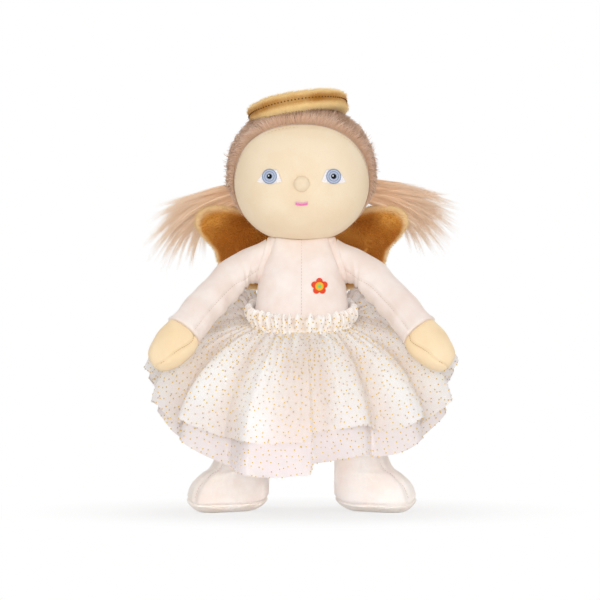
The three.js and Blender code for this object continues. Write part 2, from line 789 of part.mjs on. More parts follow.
// A point of the wing between its middle (share 0) and its outline (share 1), off its middle plane.
// The plane stands behind the back and bends in to the seam along the wing's inner edge.
function wingAt(u, share, off) {
  const rim = wingCurve.getPoint(u);
  const nearSeam = 1 - smoothstep(rim.x, 1, wingRoot);
  const bend = nearSeam * max(0, 1 - (1 - share) * wingRows);
  return wingMiddle.clone().lerp(rim, share).setY(wingStandoff * (1 - bend) + off);
}

const wingPanel = (face) =>
  panel(
    (u, v, depth) => wingAt(u, v, face * max(wingHalf(v) - depth, clearance / 2)),
    wingAround,
    wingRows,
  );
const wingFront = wingPanel(-1);
const wingBack = wingPanel(1);
const fillingReach = 0.8; // how far the filling goes to the outline
const wingFilling = body((u, v) => {
  const face = 2 * v - 1;
  const share = min(1 - abs(face), fillingReach);
  return wingAt(u, share, sign(face) * max(wingHalf(share) - velour - fillingGap, 0));
}, wingAround, 2 * wingRows);

const wingPlace = (side) => {
  const back = torsoHalfDepth(wingSeam, shoulderHeight) + clearance + wingEdge;
  return new THREE.Vector3(side * wingSeam, back, shoulderHeight);
};
const shoulderAt = (side) => new THREE.Vector3(side * shoulder.x, shoulder.y, shoulder.z);
const hipAt = (side) => new THREE.Vector3((side * hipSpacing) / 2, 0, hipHeight);

// One side of the doll: arm, leg and wing
function sidePieces(name, side) {
  const own = (geometry) => (side > 0 ? geometry : mirrored(geometry));
  const wing = groupAt(
    wingPlace(side),
    piece(`${name}_wing_front`, own(wingFront), goldPlush),
    piece(`${name}_wing_back`, own(wingBack), goldPlush),
    piece(`${name}_wing_filling`, own(wingFilling), fibrefill),
  );
  wing.rotation.x = degToRad(wingLean);
  return [
    groupAt(
      shoulderAt(side),
      piece(`${name}_sleeve`, own(leftSleeve), bodyVelour),
      piece(`${name}_hand`, own(leftHand), handFelt),
      piece(`${name}_arm_filling`, own(armFilling), fibrefill),
    ),
    groupAt(
      hipAt(side),
      piece(`${name}_leg`, own(leftLeg), bodyVelour),
      piece(`${name}_sole`, own(leftSole), bodyVelour),
      piece(`${name}_leg_filling`, own(legFilling), fibrefill),
    ),
    wing,
  ];
}

const doll = new THREE.Group();
doll.name = "angel_doll";
doll.add(
  head,
  piece("torso_front_left", torsoPanel(0, 90, frontAround), bodyVelour),
  piece("torso_front_right", torsoPanel(-90, 0, frontAround), bodyVelour),
  piece("torso_back", torsoPanel(90, 270, backAround), bodyVelour),
  piece("torso_filling", torsoFilling, fibrefill),
  piece("chest_embroidery", motifGeometry(), motifThread),
  piece("waistband", waistbandGeometry(), whiteTulle),
  piece("waist_elastic", waistElastic, elasticWeb),
  piece("skirt_under_layer", skirtUnder, whiteTulle),
  piece("skirt_outer_layer", skirtOver, whiteTulle),
  ...sidePieces("left", 1),
  ...sidePieces("right", -1),
);

export default doll;
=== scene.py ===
import math

import bmesh
import bpy
import numpy as np
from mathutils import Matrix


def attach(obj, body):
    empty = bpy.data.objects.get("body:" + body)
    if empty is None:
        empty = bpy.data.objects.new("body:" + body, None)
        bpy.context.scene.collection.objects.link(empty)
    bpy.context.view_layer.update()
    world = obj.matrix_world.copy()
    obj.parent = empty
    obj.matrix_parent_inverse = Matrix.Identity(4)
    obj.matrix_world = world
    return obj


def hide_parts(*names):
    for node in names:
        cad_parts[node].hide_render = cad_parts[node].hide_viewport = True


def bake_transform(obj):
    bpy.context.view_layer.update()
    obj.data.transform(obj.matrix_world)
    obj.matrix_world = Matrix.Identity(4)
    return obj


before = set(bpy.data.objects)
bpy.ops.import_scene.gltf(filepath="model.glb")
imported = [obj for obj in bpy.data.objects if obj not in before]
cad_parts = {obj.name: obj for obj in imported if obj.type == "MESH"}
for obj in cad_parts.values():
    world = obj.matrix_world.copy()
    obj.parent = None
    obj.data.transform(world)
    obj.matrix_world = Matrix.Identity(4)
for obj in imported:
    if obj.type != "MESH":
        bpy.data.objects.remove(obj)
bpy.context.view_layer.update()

# A soft angel doll. Shapes are worked out in millimetres and written to meshes in metres.
tau = 2 * math.pi
metre = 0.001  # per millimetre
sides = (("left", 1), ("right", -1))


def ease(x, low, high):
    t = np.clip((x - low) / (high - low), 0, 1)
    return t * t * (3 - 2 * t)


def between(a, b, t):
    return a + (b - a) * t


def hill(distance, width):
    return np.exp(-((distance / width) ** 2))


# a rounded ridge by its height, its place and its width
def ridge(distance, shape):
    height, place, width = shape
    return height * hill(distance - place, width)


def srgb(code):
    values = [int(code[k : k + 2], 16) / 255 for k in (1, 3, 5)]
    return tuple(v / 12.92 if v <= 0.04045 else ((v + 0.055) / 1.055) ** 2.4 for v in values) + (1.0,)


# a smooth unevenness of about plus or minus 1, the same on every run
def lumps(points, size, seed, waves=6):
    draw = np.random.default_rng(seed)
    total = np.zeros(points.shape[:-1])
    for _ in range(waves):
        way = draw.normal(size=3)
        way *= tau / size * draw.uniform(0.6, 1.5) / np.linalg.norm(way)
        total += np.sin(points @ way + draw.uniform(0, tau))
    return total / math.sqrt(waves)


# unevenness by its height, its size and its seed
def uneven(points, shape):
    height, size, seed = shape
    return height * lumps(points, size, seed)


# a smooth line through points, as in the solids: uniform, or centripetal with free or closed ends
def splineThrough(points, t, closed=False, even=False):
    points = np.asarray(points, float)
    count = len(points)
    place = np.asarray(t, float) * (count if closed else count - 1)
    first = np.floor(place).astype(int)
    if not closed:
        first = np.clip(first, 0, count - 2)
    share = (place - first)[..., None]
    if closed:
        p = [points[(first + k) % count] for k in (-1, 0, 1, 2)]
    else:
        ends = (points[0], points[-1]) if even else (2 * points[0] - points[1], 2 * points[-1] - points[-2])
        padded = np.vstack([ends[0], points, ends[1]])
        p = [padded[first + k] for k in (0, 1, 2, 3)]
    if even:
        t1, t2 = (p[2] - p[0]) / 2, (p[3] - p[1]) / 2
    else:
        d = [np.maximum(((p[k + 1] - p[k]) ** 2).sum(-1), 1e-8)[..., None] ** 0.25 for k in range(3)]
        t1 = ((p[1] - p[0]) / d[0] - (p[2] - p[0]) / (d[0] + d[1]) + (p[2] - p[1]) / d[1]) * d[1]
        t2 = ((p[2] - p[1]) / d[1] - (p[3] - p[1]) / (d[1] + d[2]) + (p[3] - p[2]) / d[2]) * d[1]
    return (
        p[1]
        + t1 * share
        + (-3 * p[1] + 3 * p[2] - 2 * t1 - t2) * share**2
        + (2 * p[1] - 2 * p[2] + t1 + t2) * share**3
    )


def squareRound(turn, halfWidth, halfDepth, squareness):
    s, c = np.sin(turn), np.cos(turn)
    across = np.sign(s) * np.abs(s) ** (2 / squareness)
    ahead = np.sign(c) * np.abs(c) ** (2 / squareness)
    return halfWidth * across, -halfDepth * ahead


def unit(vectors):
    return vectors / np.maximum(np.linalg.norm(vectors, axis=-1, keepdims=True), 1e-12)


def stack(x, y, z):
    return np.stack(np.broadcast_arrays(x, y, z), -1).astype(float)


# points of the left side, or their mirror image for the right
def onSide(points, side):
    return points * np.array([side, 1, 1])


# a turn brought to within half a turn of 0
def wrapped(turn):
    return (turn + math.pi) % tau - math.pi


def apart(turn, other):
    return np.abs(wrapped(turn - other))


def aboutX(degrees):
    c, s = math.cos(math.radians(degrees)), math.sin(math.radians(degrees))
    return np.array([[1, 0, 0], [0, c, -s], [0, s, c]])


def aboutY(degrees):
    c, s = math.cos(math.radians(degrees)), math.sin(math.radians(degrees))
    return np.array([[c, 0, s], [0, 1, 0], [-s, 0, c]])


def turnsRound(count):
    return np.arange(count) / count * tau


# grid of turns and shares for a surface that closes round on itself
def grid(around, along, low=0.0, high=1.0):
    return np.meshgrid(turnsRound(around), np.linspace(low, high, along + 1))


# lengths of the steps from point to point, and the run along them from 0
def stepsAlong(points):
    return np.linalg.norm(np.diff(points, axis=0), axis=-1)


def runAlong(points):
    return np.concatenate([[0], np.cumsum(stepsAlong(points))])


def aroundStep(rows):
    return np.roll(rows, -1, 1) - np.roll(rows, 1, 1)


def waysOut(rows, wrap=True):
    across = aroundStep(rows) if wrap else np.gradient(rows, axis=1)
    normal = unit(np.cross(across, np.gradient(rows, axis=0)))
    outwards = rows - rows.mean(axis=1, keepdims=True)
    return normal if (normal * outwards).sum() > 0 else -normal


def raised(rows, amount, wrap=True):
    return rows + waysOut(rows, wrap) * amount[..., None]


def linkPiece(name, data):
    piece = bpy.data.objects.new(name, data)
    bpy.context.scene.collection.objects.link(piece)
    return piece


def newMesh(name, points, edges=(), faces=()):
    mesh = bpy.data.meshes.new(name)
    mesh.from_pydata((np.asarray(points) * metre).tolist(), edges, faces)
    return mesh


# values on a mesh's points, by name, for its finish to read
def mark(mesh, marks):
    for label, values in (marks or {}).items():
        full = np.zeros(len(mesh.vertices), np.float32)
        full[: values.size] = values.ravel()
        mesh.attributes.new(label, "FLOAT", "POINT").data.foreach_set("value", full)


def markWays(mesh, label, vectors):
    attribute = mesh.attributes.new(label, "FLOAT_VECTOR", "POINT")
    attribute.data.foreach_set("vector", vectors.ravel().astype(np.float32))


# four-sided faces over rows of points: wrapped round, or closed along as well
def quads(count, width, wrap=True, ring=False):
    faces = []
    for j in range(count if ring else count - 1):
        for i in range(width if wrap else width - 1):
            a, b, k = j * width, (j + 1) % count * width, (i + 1) % width
            faces.append((a + i, a + k, b + k, b + i))
    return faces


# a mesh over rows of points, with capped ends where it is a tube
def loft(name, rows, finish, wrap=True, ring=False, marks=None):
    count, width = rows.shape[:2]
    points = list(rows.reshape(-1, 3))
    faces = quads(count, width, wrap, ring)
    if wrap and not ring:
        for row in (0, count - 1):
            points.append(rows[row].mean(0))
            faces += [(row * width + i, row * width + (i + 1) % width, len(points) - 1) for i in range(width)]
    mesh = newMesh(name, points, faces=faces)
    work = bmesh.new()
    work.from_mesh(mesh)
    bmesh.ops.recalc_face_normals(work, faces=work.faces)
    work.to_mesh(mesh)
    work.free()
    mesh.shade_smooth()
    mesh.materials.append(finish)
    mark(mesh, marks)
    return linkPiece(name, mesh)


# cloth with a thickness over rows that start or end at a pole
def shellLoft(name, rows, depth, finish):
    inner = rows - waysOut(rows) * depth
    return loft(name, np.concatenate([rows, inner[::-1]]), finish)


# Shader and geometry nodes
class Wire:
    def __init__(self, board, socket):
        self.board, self.socket = board, socket

    # another output of the same node
    def beside(self, output):
        return Wire(self.board, self.socket.node.outputs[output])

    def maths(self, operation, first, second):
        return self.board.add("ShaderNodeMath", {"operation": operation}, {0: first, 1: second})

    def __add__(self, other):
        return self.maths("ADD", self, other)

    def __radd__(self, other):
        return self.maths("ADD", other, self)

    def __sub__(self, other):
        return self.maths("SUBTRACT", self, other)

    def __rsub__(self, other):
        return self.maths("SUBTRACT", other, self)

    def __mul__(self, other):
        return self.maths("MULTIPLY", self, other)

    def __rmul__(self, other):
        return self.maths("MULTIPLY", other, self)

    def __pow__(self, other):
        return self.maths("POWER", self, other)


class Board:
    def __init__(self, tree):
        self.tree = tree

    # one node of a kind, its settings first, then the values or wires of its sockets
    def add(self, kind, settings=None, inputs=None, output=0):
        node = self.tree.nodes.new(kind)
        for key, value in (settings or {}).items():
            if key == "stops":
                ramp = node.color_ramp.elements
                while len(ramp) < len(value):
                    ramp.new(1)
                for element, (place, colour) in zip(ramp, value):
                    element.position, element.color = place, colour
            else:
                setattr(node, key, value)
        for key, value in (inputs or {}).items():
            used = [socket for socket in node.inputs if socket.enabled]
            socket = used[key] if isinstance(key, int) else next(s for s in used if s.name == key)
            if isinstance(value, Wire):
                self.tree.links.new(value.socket, socket)
            else:
                socket.default_value = value
        found = [socket for socket in node.outputs if socket.enabled]
        if not found:
            return node
        if isinstance(output, int):
            return Wire(self, found[output])
        return Wire(self, next(socket for socket in found if socket.name == output))

    def blend(self, factor, first, second):
        return self.add("ShaderNodeMix", {"data_type": "RGBA"}, {"Factor": factor, "A": first, "B": second})

    # noise with grains of a size in millimetres
    def noise(self, place, size, detail=3, roughness=0.6):
        inputs = {"Vector": place, "Scale": 1 / (size * metre), "Detail": detail, "Roughness": roughness}
        return self.add("ShaderNodeTexNoise", {}, inputs, "Fac")

    def ramp(self, factor, *stops):
        return self.add("ShaderNodeValToRGB", {"stops": stops}, {"Fac": factor}, "Color")

    def fade(self, factor, low, high):
        inputs = {"Value": factor, "From Min": low, "From Max": high}
        return self.add("ShaderNodeMapRange", {"interpolation_type": "SMOOTHSTEP"}, inputs)

    def marks(self, label):
        return self.add("ShaderNodeAttribute", {"attribute_name": label}, {}, "Fac")

    def ownPlace(self):
        return self.add("ShaderNodeTexCoord", {}, {}, "Object")

    def bump(self, height, strength, depth):
        inputs = {"Strength": strength, "Distance": depth * metre, "Height": height}
        return self.add("ShaderNodeBump", {}, inputs)

    def principled(self, inputs):
        self.surface(self.add("ShaderNodeBsdfPrincipled", {}, inputs))

    def surface(self, shader):
        self.add("ShaderNodeOutputMaterial", {}, {"Surface": shader})

    # geometry: attributes read and stored, directions, swept lines and repeated shapes
    def named(self, label, kind="FLOAT"):
        return self.add("GeometryNodeInputNamedAttribute", {"data_type": kind}, {"Name": label})

    def store(self, geometry, label, value, domain="POINT"):
        settings = {"data_type": "FLOAT", "domain": domain}
        inputs = {"Geometry": geometry, "Name": label, "Value": value}
        return self.add("GeometryNodeStoreNamedAttribute", settings, inputs)

    def facing(self, way):
        return self.add("FunctionNodeAlignRotationToVector", {"axis": "Z"}, {"Vector": way})

    def vector(self, x, y, z):
        return self.add("ShaderNodeCombineXYZ", {}, {"X": x, "Y": y, "Z": z})

    def plus(self, first, second):
        return self.add("ShaderNodeVectorMath", {"operation": "ADD"}, {0: first, 1: second})

    def alongLine(self):
        return self.add("GeometryNodeSplineParameter", {}, {}, "Factor")

    def bead(self, segments, rings):
        inputs = {"Segments": segments, "Rings": rings, "Radius": 1.0}
        return self.add("GeometryNodeMeshUVSphere", {}, inputs, "Mesh")

    def swept(self, lines, around, radius, scale, caps):
        section = self.add("GeometryNodeCurvePrimitiveCircle", {}, {"Resolution": around, "Radius": radius})
        inputs = {"Curve": lines, "Profile Curve": section, "Scale": scale, "Fill Caps": caps}
        return self.add("GeometryNodeCurveToMesh", {}, inputs)

    def strewn(self, points, shape, rotation, scale):
        inputs = {"Points": points, "Instance": shape, "Rotation": rotation, "Scale": scale}
        return self.add("GeometryNodeInstanceOnPoints", {}, inputs)


def newFinish(name):
    material = bpy.data.materials.new(name)
    material.use_nodes = True
    material.node_tree.nodes.clear()
    return material, Board(material.node_tree)


def shaded(code, factor):
    return tuple(min(1, factor * v) for v in srgb(code)[:3]) + (1.0,)


# a tone that shifts where a piece is marked as its rim or as deep in a seam. On the halo and wings the rim is
# a painted highlight, and on the net the rim is painted shade towards the hem. Deep is painted shade in the
# halo's groove and in the net's folds, gathers and creases; on the hair and wings it lays darker streaks and
# clouds at random
def marked(board, tone, look):
    for label in ("deep", "rim"):
        if label in look:
            tone = board.blend(board.marks(label), tone, srgb(look[label]))
    return tone


# woven, knitted or cut-pile cloth with a soft nap: sizes in millimetres
clothNap = {
    "patchFade": (0.3, 0.7), "speckFade": (0.52, 0.75), "napShare": 0.7, "detail": 2, "rough": 0.7,
    "bumpDepth": 0.6, "roughness": 0.95, "napGloss": 0.2, "specular": 0.25,
}


def clothFinish(name, look):
    material, board = newFinish(name)
    spot = board.ownPlace()
    patches = board.noise(spot, look["patch"])
    fine = (clothNap["detail"], clothNap["rough"])
    nap, grain = (board.noise(spot, look[part], *fine) for part in ("nap", "grain"))
    tone = board.blend(board.fade(patches, *clothNap["patchFade"]), srgb(look["dark"]), srgb(look["pale"]))
    specks = board.fade(grain, *clothNap["speckFade"]) * look["speckle"]
    tone = marked(board, board.blend(specks, tone, srgb(look["speck"])), look)
    height = nap * clothNap["napShare"] + grain * (1 - clothNap["napShare"])
    board.principled({
        "Base Color": tone,
        "Roughness": clothNap["roughness"] - clothNap["napGloss"] * nap,
        "Normal": board.bump(height, look["bump"], clothNap["bumpDepth"]),
        "Specular IOR Level": clothNap["specular"],
        "Sheen Weight": look["sheen"],
        "Sheen Roughness": look["sheenRoughness"],
        "Sheen Tint": srgb(look["sheenTint"]),
    })
    return material


# strands that shift from root to tip, and a little from one to the next
strandNap = {"roughness": 0.75, "shadeGloss": 0.2, "sheenRoughness": 0.4}


def furFinish(name, look):
    material, board = newFinish(name)
    shade = board.marks("shade")
    stops = ((0, "root"), (look["turn"], "middle"), (1, "tip"))
    tone = board.ramp(board.marks("along"), *((place, srgb(look[part])) for place, part in stops))
    tone = marked(board, board.blend(shade * look["variety"], tone, srgb(look["other"])), look)
    # an emission in the strands' own tone, set by glow, is painted light standing in for light passing
    # through the hair
    board.principled({
        "Base Color": tone,
        "Emission Color": tone,
        "Emission Strength": look["glow"],
        "Roughness": strandNap["roughness"] - strandNap["shadeGloss"] * shade,
        "Specular IOR Level": look["gloss"],
        "Sheen Weight": look["sheen"],
        "Sheen Roughness": strandNap["sheenRoughness"],
        "Sheen Tint": srgb(look["tip"]),
    })
    return material


# embroidery and sewing thread
threadPly = {
    "size": 0.5, "detail": 2, "fade": (0.25, 0.6), "darker": 0.72, "bump": 0.35, "bumpDepth": 0.2,
    "roughness": 0.65, "plyGloss": 0.25,
}


def threadFinish(name, code, gloss):
    material, board = newFinish(name)
    ply = board.noise(board.ownPlace(), threadPly["size"], threadPly["detail"])
    tone = board.blend(board.fade(ply, *threadPly["fade"]), shaded(code, threadPly["darker"]), srgb(code))
    board.principled({
        "Base Color": tone,
        "Roughness": threadPly["roughness"] - threadPly["plyGloss"] * ply,
        "Normal": board.bump(ply, threadPly["bump"], threadPly["bumpDepth"]),
        "Specular IOR Level": gloss,
    })
    return material


# net with fine threads, in the piece's own flat coordinates in metres
netWeave = {
    "randomness": 0.15, "threadFade": (0.08, 0.3), "cloudFade": (0.35, 0.65), "rimCover": 0.32,
    "bump": 0.12, "bumpDepth": 0.3, "roughness": 0.7, "cloudGloss": 0.1, "specular": 0.3,
    "sheen": 0.25, "sheenRoughness": 0.4,
}


def netFinish(name, look):
    material, board = newFinish(name)
    flat = board.add("ShaderNodeUVMap", {"uv_map": "UVMap"})
    cells = board.add(
        "ShaderNodeTexVoronoi",
        {"voronoi_dimensions": "2D", "feature": "DISTANCE_TO_EDGE"},
        {"Vector": flat, "Scale": 1 / (look["mesh"] * metre), "Randomness": netWeave["randomness"]},
    )
    thread = 1 - board.fade(cells, *netWeave["threadFade"])
    cloudy = board.noise(board.ownPlace(), look["patch"])
    tone = board.blend(board.fade(cloudy, *netWeave["cloudFade"]), srgb(look["dark"]), srgb(look["pale"]))
    # deep and rim paint shade into the net's tone
    tone = marked(board, tone, look)
    cover = look["hole"] + (look["thread"] - look["hole"]) * thread
    if "rim" in look:
        cover = cover + netWeave["rimCover"] * board.marks("rim")
    # an emission in the net's own tone, set by glow, is painted light standing in for light passing through
    # the net
    board.principled({
        "Base Color": tone,
        "Emission Color": tone,
        "Emission Strength": look["glow"],
        "Roughness": netWeave["roughness"] - netWeave["cloudGloss"] * cloudy,
        "Alpha": cover,
        "Normal": board.bump(thread, netWeave["bump"], netWeave["bumpDepth"]),
        "Specular IOR Level": netWeave["specular"],
        "Sheen Weight": netWeave["sheen"],
        "Sheen Roughness": netWeave["sheenRoughness"],
    })
    return material


# gold dots that sparkle a little
sparkleLook = {
    "size": 1.5, "detail": 1, "fade": (0.35, 0.65), "paler": 1.35,
    "metal": 0.2, "roughness": 0.5, "gloss": 0.25,
}


def glitterFinish(name, code):
    material, board = newFinish(name)
    sparkle = board.noise(board.ownPlace(), sparkleLook["size"], sparkleLook["detail"])
    pale = shaded(code, sparkleLook["paler"])
    board.principled({
        "Base Color": board.blend(board.fade(sparkle, *sparkleLook["fade"]), srgb(code), pale),
        "Metallic": sparkleLook["metal"],
        "Roughness": sparkleLook["roughness"] - sparkleLook["gloss"] * sparkle,
    })
    return material


# Finishes: settings that cloths share, then each cloth, fur, net and thread
velour = {"speckle": 0.25, "patch": 22, "nap": 0.9, "grain": 0.5, "bump": 0.3, "sheenRoughness": 0.35}
jersey = {"speckle": 0.35, "grain": 0.6, "bump": 0.25, "sheenRoughness": 0.5}
plush = {"speckle": 0.5, "nap": 1.4, "grain": 0.7, "bump": 0.7, "sheen": 0.5, "sheenRoughness": 0.35}
finishes = {
    "face": clothFinish("faceJersey", {
        **jersey, "dark": "#F1DCBC", "pale": "#F6E4C9", "speck": "#E6CBA2", "patch": 30, "nap": 1.1,
        "sheen": 0.12, "sheenTint": "#FFF3E0",
    }),
    "body": clothFinish("bodyVelour", {
        **velour, "dark": "#F3E2D9", "pale": "#FAF0EA", "speck": "#EEDACF",
        "sheen": 0.45, "sheenTint": "#FFF8F4",
    }),
    "boot": clothFinish("bootVelour", {
        **velour, "dark": "#FBEFE6", "pale": "#FFFAF5", "speck": "#F6E6DB",
        "sheen": 0.5, "sheenTint": "#FFF8F2",
    }),
    "hand": clothFinish("handFelt", {
        **jersey, "dark": "#F8DDB3", "pale": "#FCE5C1", "speck": "#F2D09C", "patch": 25, "nap": 1.0,
        "sheen": 0.15, "sheenTint": "#FFF0D8",
    }),
    "hairCloth": clothFinish("hairBacking", {
        "dark": "#CBA589", "pale": "#DEBB9F", "speck": "#B89276", "speckle": 0.6, "patch": 12, "nap": 1.6,
        "grain": 0.8, "bump": 0.7, "sheen": 0.2, "sheenRoughness": 0.4, "sheenTint": "#E8CFBA",
    }),
    # the wing's rim colour is a painted highlight along its edge; its deep colour lays darker clouds at
    # random
    "wing": clothFinish("wingPlush", {
        **plush, "dark": "#B0661A", "pale": "#E2A24C", "rim": "#FADDAC", "deep": "#96500A",
        "speck": "#8E4A0A", "patch": 24, "sheenTint": "#F0C080",
    }),
    # the halo's rim colour is a painted highlight and its deep colour is painted shade in its groove
    "halo": clothFinish("haloPlush", {
        **plush, "dark": "#E4B26C", "pale": "#FBD898", "rim": "#F8DCA0", "deep": "#A86A16",
        "speck": "#B47830", "patch": 12, "sheenTint": "#FBE0B4",
    }),
    "elastic": clothFinish("elasticWeb", {
        "dark": "#E4DED4", "pale": "#F2EEE8", "speck": "#D8D0C4", "speckle": 0.5, "patch": 4, "nap": 0.8,
        "grain": 0.4, "bump": 0.6, "sheen": 0.0, "sheenRoughness": 0.5, "sheenTint": "#FFFFFF",
    }),
    "hairFur": furFinish("hairFur", {
        "root": "#D4AD8E", "middle": "#FADBC4", "tip": "#FFF4EA", "turn": 0.5, "other": "#D2A786",
        "deep": "#B08664", "variety": 0.6, "gloss": 0.3, "sheen": 0.15, "glow": 0.03,
    }),
    "tailFur": furFinish("tailFur", {
        "root": "#E4BA94", "middle": "#FADBBB", "tip": "#FFF2E2", "turn": 0.4, "other": "#E3BC96",
        "variety": 0.6, "gloss": 0.35, "sheen": 0.3, "glow": 0.1,
    }),
    # the wing pile's rim colour is a painted highlight along the edge
    "wingPile": furFinish("wingPile", {
        "root": "#C47A1C", "middle": "#F2A62C", "tip": "#FFCA66", "turn": 0.6, "other": "#CE7C18",
        "rim": "#FFE6B0", "deep": "#B4660A", "variety": 0.6, "gloss": 0.4, "sheen": 0.2, "glow": 0.0,
    }),
    # the halo pile's rim colour is a painted highlight and its deep colour is painted shade in the groove
    "haloPile": furFinish("haloPile", {
        "root": "#EDBE78", "middle": "#FFDC9C", "tip": "#FFE8B8", "turn": 0.6, "other": "#F3C47C",
        "rim": "#FFE6B0", "deep": "#B87A22", "variety": 0.5, "gloss": 0.4, "sheen": 0.2, "glow": 0.02,
    }),
    # net: the deep colour is painted shade in fold valleys, gathers and beside the pleat; the rim colour is
    # painted shade towards the hem, where the net also has more cover
    "net": netFinish("skirtNet", {
        "dark": "#FCF8F6", "pale": "#FFFFFF", "deep": "#E6D0C1", "rim": "#DED5D4", "patch": 25, "mesh": 0.6,
        "hole": 0.5, "thread": 0.78, "glow": 0.06,
    }),
    # bandNet: the deep colour is painted shade in the creases between the gathers
    "bandNet": netFinish("bandNet", {
        "dark": "#FCF4EE", "pale": "#FFFFFF", "deep": "#E4CBB4", "patch": 10, "mesh": 0.6,
        "hole": 0.75, "thread": 0.95, "glow": 0.08,
    }),
    "glitter": glitterFinish("goldGlitter", "#C8A416"),
    "pupil": threadFinish("pupilThread", "#08080B", 0.15),
}
sewingGloss, silkGloss = 0.2, 0.4
sewingThreads = {"seam": "#D8BFAE", "face": "#DFC39A", "hand": "#D2A567", "halo": "#6E4310"}
embroiderySilks = {
    "eyeWhite": "#FFFAFA", "eyeEdge": "#E0CDB8",
    "irisPale": "#CBD4E4", "irisDeep": "#9AA8C6", "glint": "#FFFFFF",
    "lipPale": "#F9C3D6", "lipDeep": "#F58CC0",
    "petal": "#EE4A1E", "petalHeart": "#FFC528", "flowerEye": "#86D882",
}
for label, code in sewingThreads.items():
    finishes[label + "Thread"] = threadFinish(label + "Thread", code, sewingGloss)
for label, code in embroiderySilks.items():
    finishes[label] = threadFinish(label + "Thread", code, silkGloss)
print("finishes:", len(finishes))


def newTree(name, sizes, counts=()):
    tree = bpy.data.node_groups.new(name, "GeometryNodeTree")
    tree.interface.new_socket(name="Geometry", in_out="OUTPUT", socket_type="NodeSocketGeometry")
    inputs = [("Geometry", "Geometry"), *((label, "Float") for label in sizes)]
    inputs += [*((label, "Int") for label in counts), ("Finish", "Material")]
    for label, kind in inputs:
        tree.interface.new_socket(name=label, in_out="INPUT", socket_type="NodeSocket" + kind)
    board = Board(tree)
    entry = tree.nodes.new("NodeGroupInput")
    return tree, board, {socket.name: Wire(board, socket) for socket in entry.outputs if socket.name}


def endTree(board, geometry, material):
    real = board.add("GeometryNodeRealizeInstances", {}, {"Geometry": geometry})
    smooth = board.add("GeometryNodeSetShadeSmooth", {}, {"Geometry": real})
    done = board.add("GeometryNodeSetMaterial", {}, {"Geometry": smooth, "Material": material})
    board.add("NodeGroupOutput", {}, {"Geometry": done})


# threads and hairs along lines, tapered by a share
def threadTree():
    tree, board, given = newTree("threadsAlongLines", ("Radius", "Taper"), ("Sides",))
    taperPower = 1.5
    along = board.alongLine()
    lines = board.add("GeometryNodeMeshToCurve", {}, {"Mesh": given["Geometry"]})
    lines = board.store(lines, "along", along)
    scale = 1 - given["Taper"] * along**taperPower
    endTree(board, board.swept(lines, given["Sides"], given["Radius"], scale, True), given["Finish"])
    return tree


# stitches laid one after another along lines
def stitchTree():
    tree, board, given = newTree("stitchesAlongLines", ("Pitch", "Length", "Radius"))
    lines = board.add("GeometryNodeMeshToCurve", {}, {"Mesh": given["Geometry"]})
    spaced = {"Curve": lines, "Length": given["Pitch"]}
    points = board.add("GeometryNodeCurveToPoints", {"mode": "LENGTH"}, spaced)
    shape = board.vector(given["Radius"], given["Radius"], given["Length"] * 0.5)
    placed = board.strewn(points, board.bead(6, 5), board.facing(points.beside("Tangent")), shape)
    endTree(board, placed, given["Finish"])
    return tree


# pile that stands on a surface along its comb directions
strand = {"rise": 0.9, "bow": 0.6, "taper": 0.9, "sizes": (0.65, 1.15), "sides": 3}


def pileTree():
    sizes = ("Density", "Length", "Radius", "Bend", "Tousle")
    tree, board, given = newTree("pileOnCloth", sizes, ("Steps", "Seed"))
    seed = given["Seed"]
    points = board.add(
        "GeometryNodeDistributePointsOnFaces",
        {"distribute_method": "RANDOM"},
        {"Mesh": given["Geometry"], "Density": given["Density"], "Seed": seed},
        "Points",
    )
    ends = {"Min": (-1, -1, -1), "Max": (1, 1, 1), "Seed": seed + 1}
    spread = board.add("FunctionNodeRandomValue", {"data_type": "FLOAT_VECTOR"}, ends)
    tousled = {"Vector": spread, "Scale": given["Tousle"]}
    messy = board.add("ShaderNodeVectorMath", {"operation": "SCALE"}, tousled)
    way, leaning = (board.plus(board.named(label, "FLOAT_VECTOR"), messy) for label in ("comb", "lay"))
    turned = board.add(
        "FunctionNodeAlignRotationToVector",
        {"axis": "X", "pivot_axis": "Z"},
        {"Rotation": board.facing(way), "Vector": leaning},
    )
    length, along = given["Length"], board.alongLine()
    tip = board.vector(length * given["Bend"], 0.0, length * strand["rise"])
    bow = board.vector(0.0, 0.0, length * strand["bow"])
    bent = {"Resolution": given["Steps"], "Start": (0, 0, 0), "Middle": bow, "End": tip}
    line = board.store(board.add("GeometryNodeCurveQuadraticBezier", {}, bent), "along", along)
    hair = board.swept(line, strand["sides"], given["Radius"], 1 - strand["taper"] * along, False)
    low, high = strand["sizes"]
    size = board.add("FunctionNodeRandomValue", {}, {"Min": low, "Max": high, "Seed": seed + 2})
    placed = board.strewn(points, hair, turned, size * board.named("long"))
    shade = board.add("FunctionNodeRandomValue", {}, {"Min": 0.0, "Max": 1.0, "Seed": seed + 3})
    endTree(board, board.store(placed, "shade", shade, "INSTANCE"), given["Finish"])
    return tree


# flat beads set on points that carry their way out
def dotTree():
    tree, board, given = newTree("dotsOnNet", ("Radius", "Thickness"))
    points = board.add("GeometryNodeMeshToPoints", {}, {"Mesh": given["Geometry"]})
    shape = board.vector(given["Radius"], given["Radius"], given["Thickness"] * 0.5)
    placed = board.strewn(points, board.bead(6, 3), board.facing(board.named("out", "FLOAT_VECTOR")), shape)
    endTree(board, placed, given["Finish"])
    return tree


trees = {"thread": threadTree(), "stitch": stitchTree(), "pile": pileTree(), "dot": dotTree()}


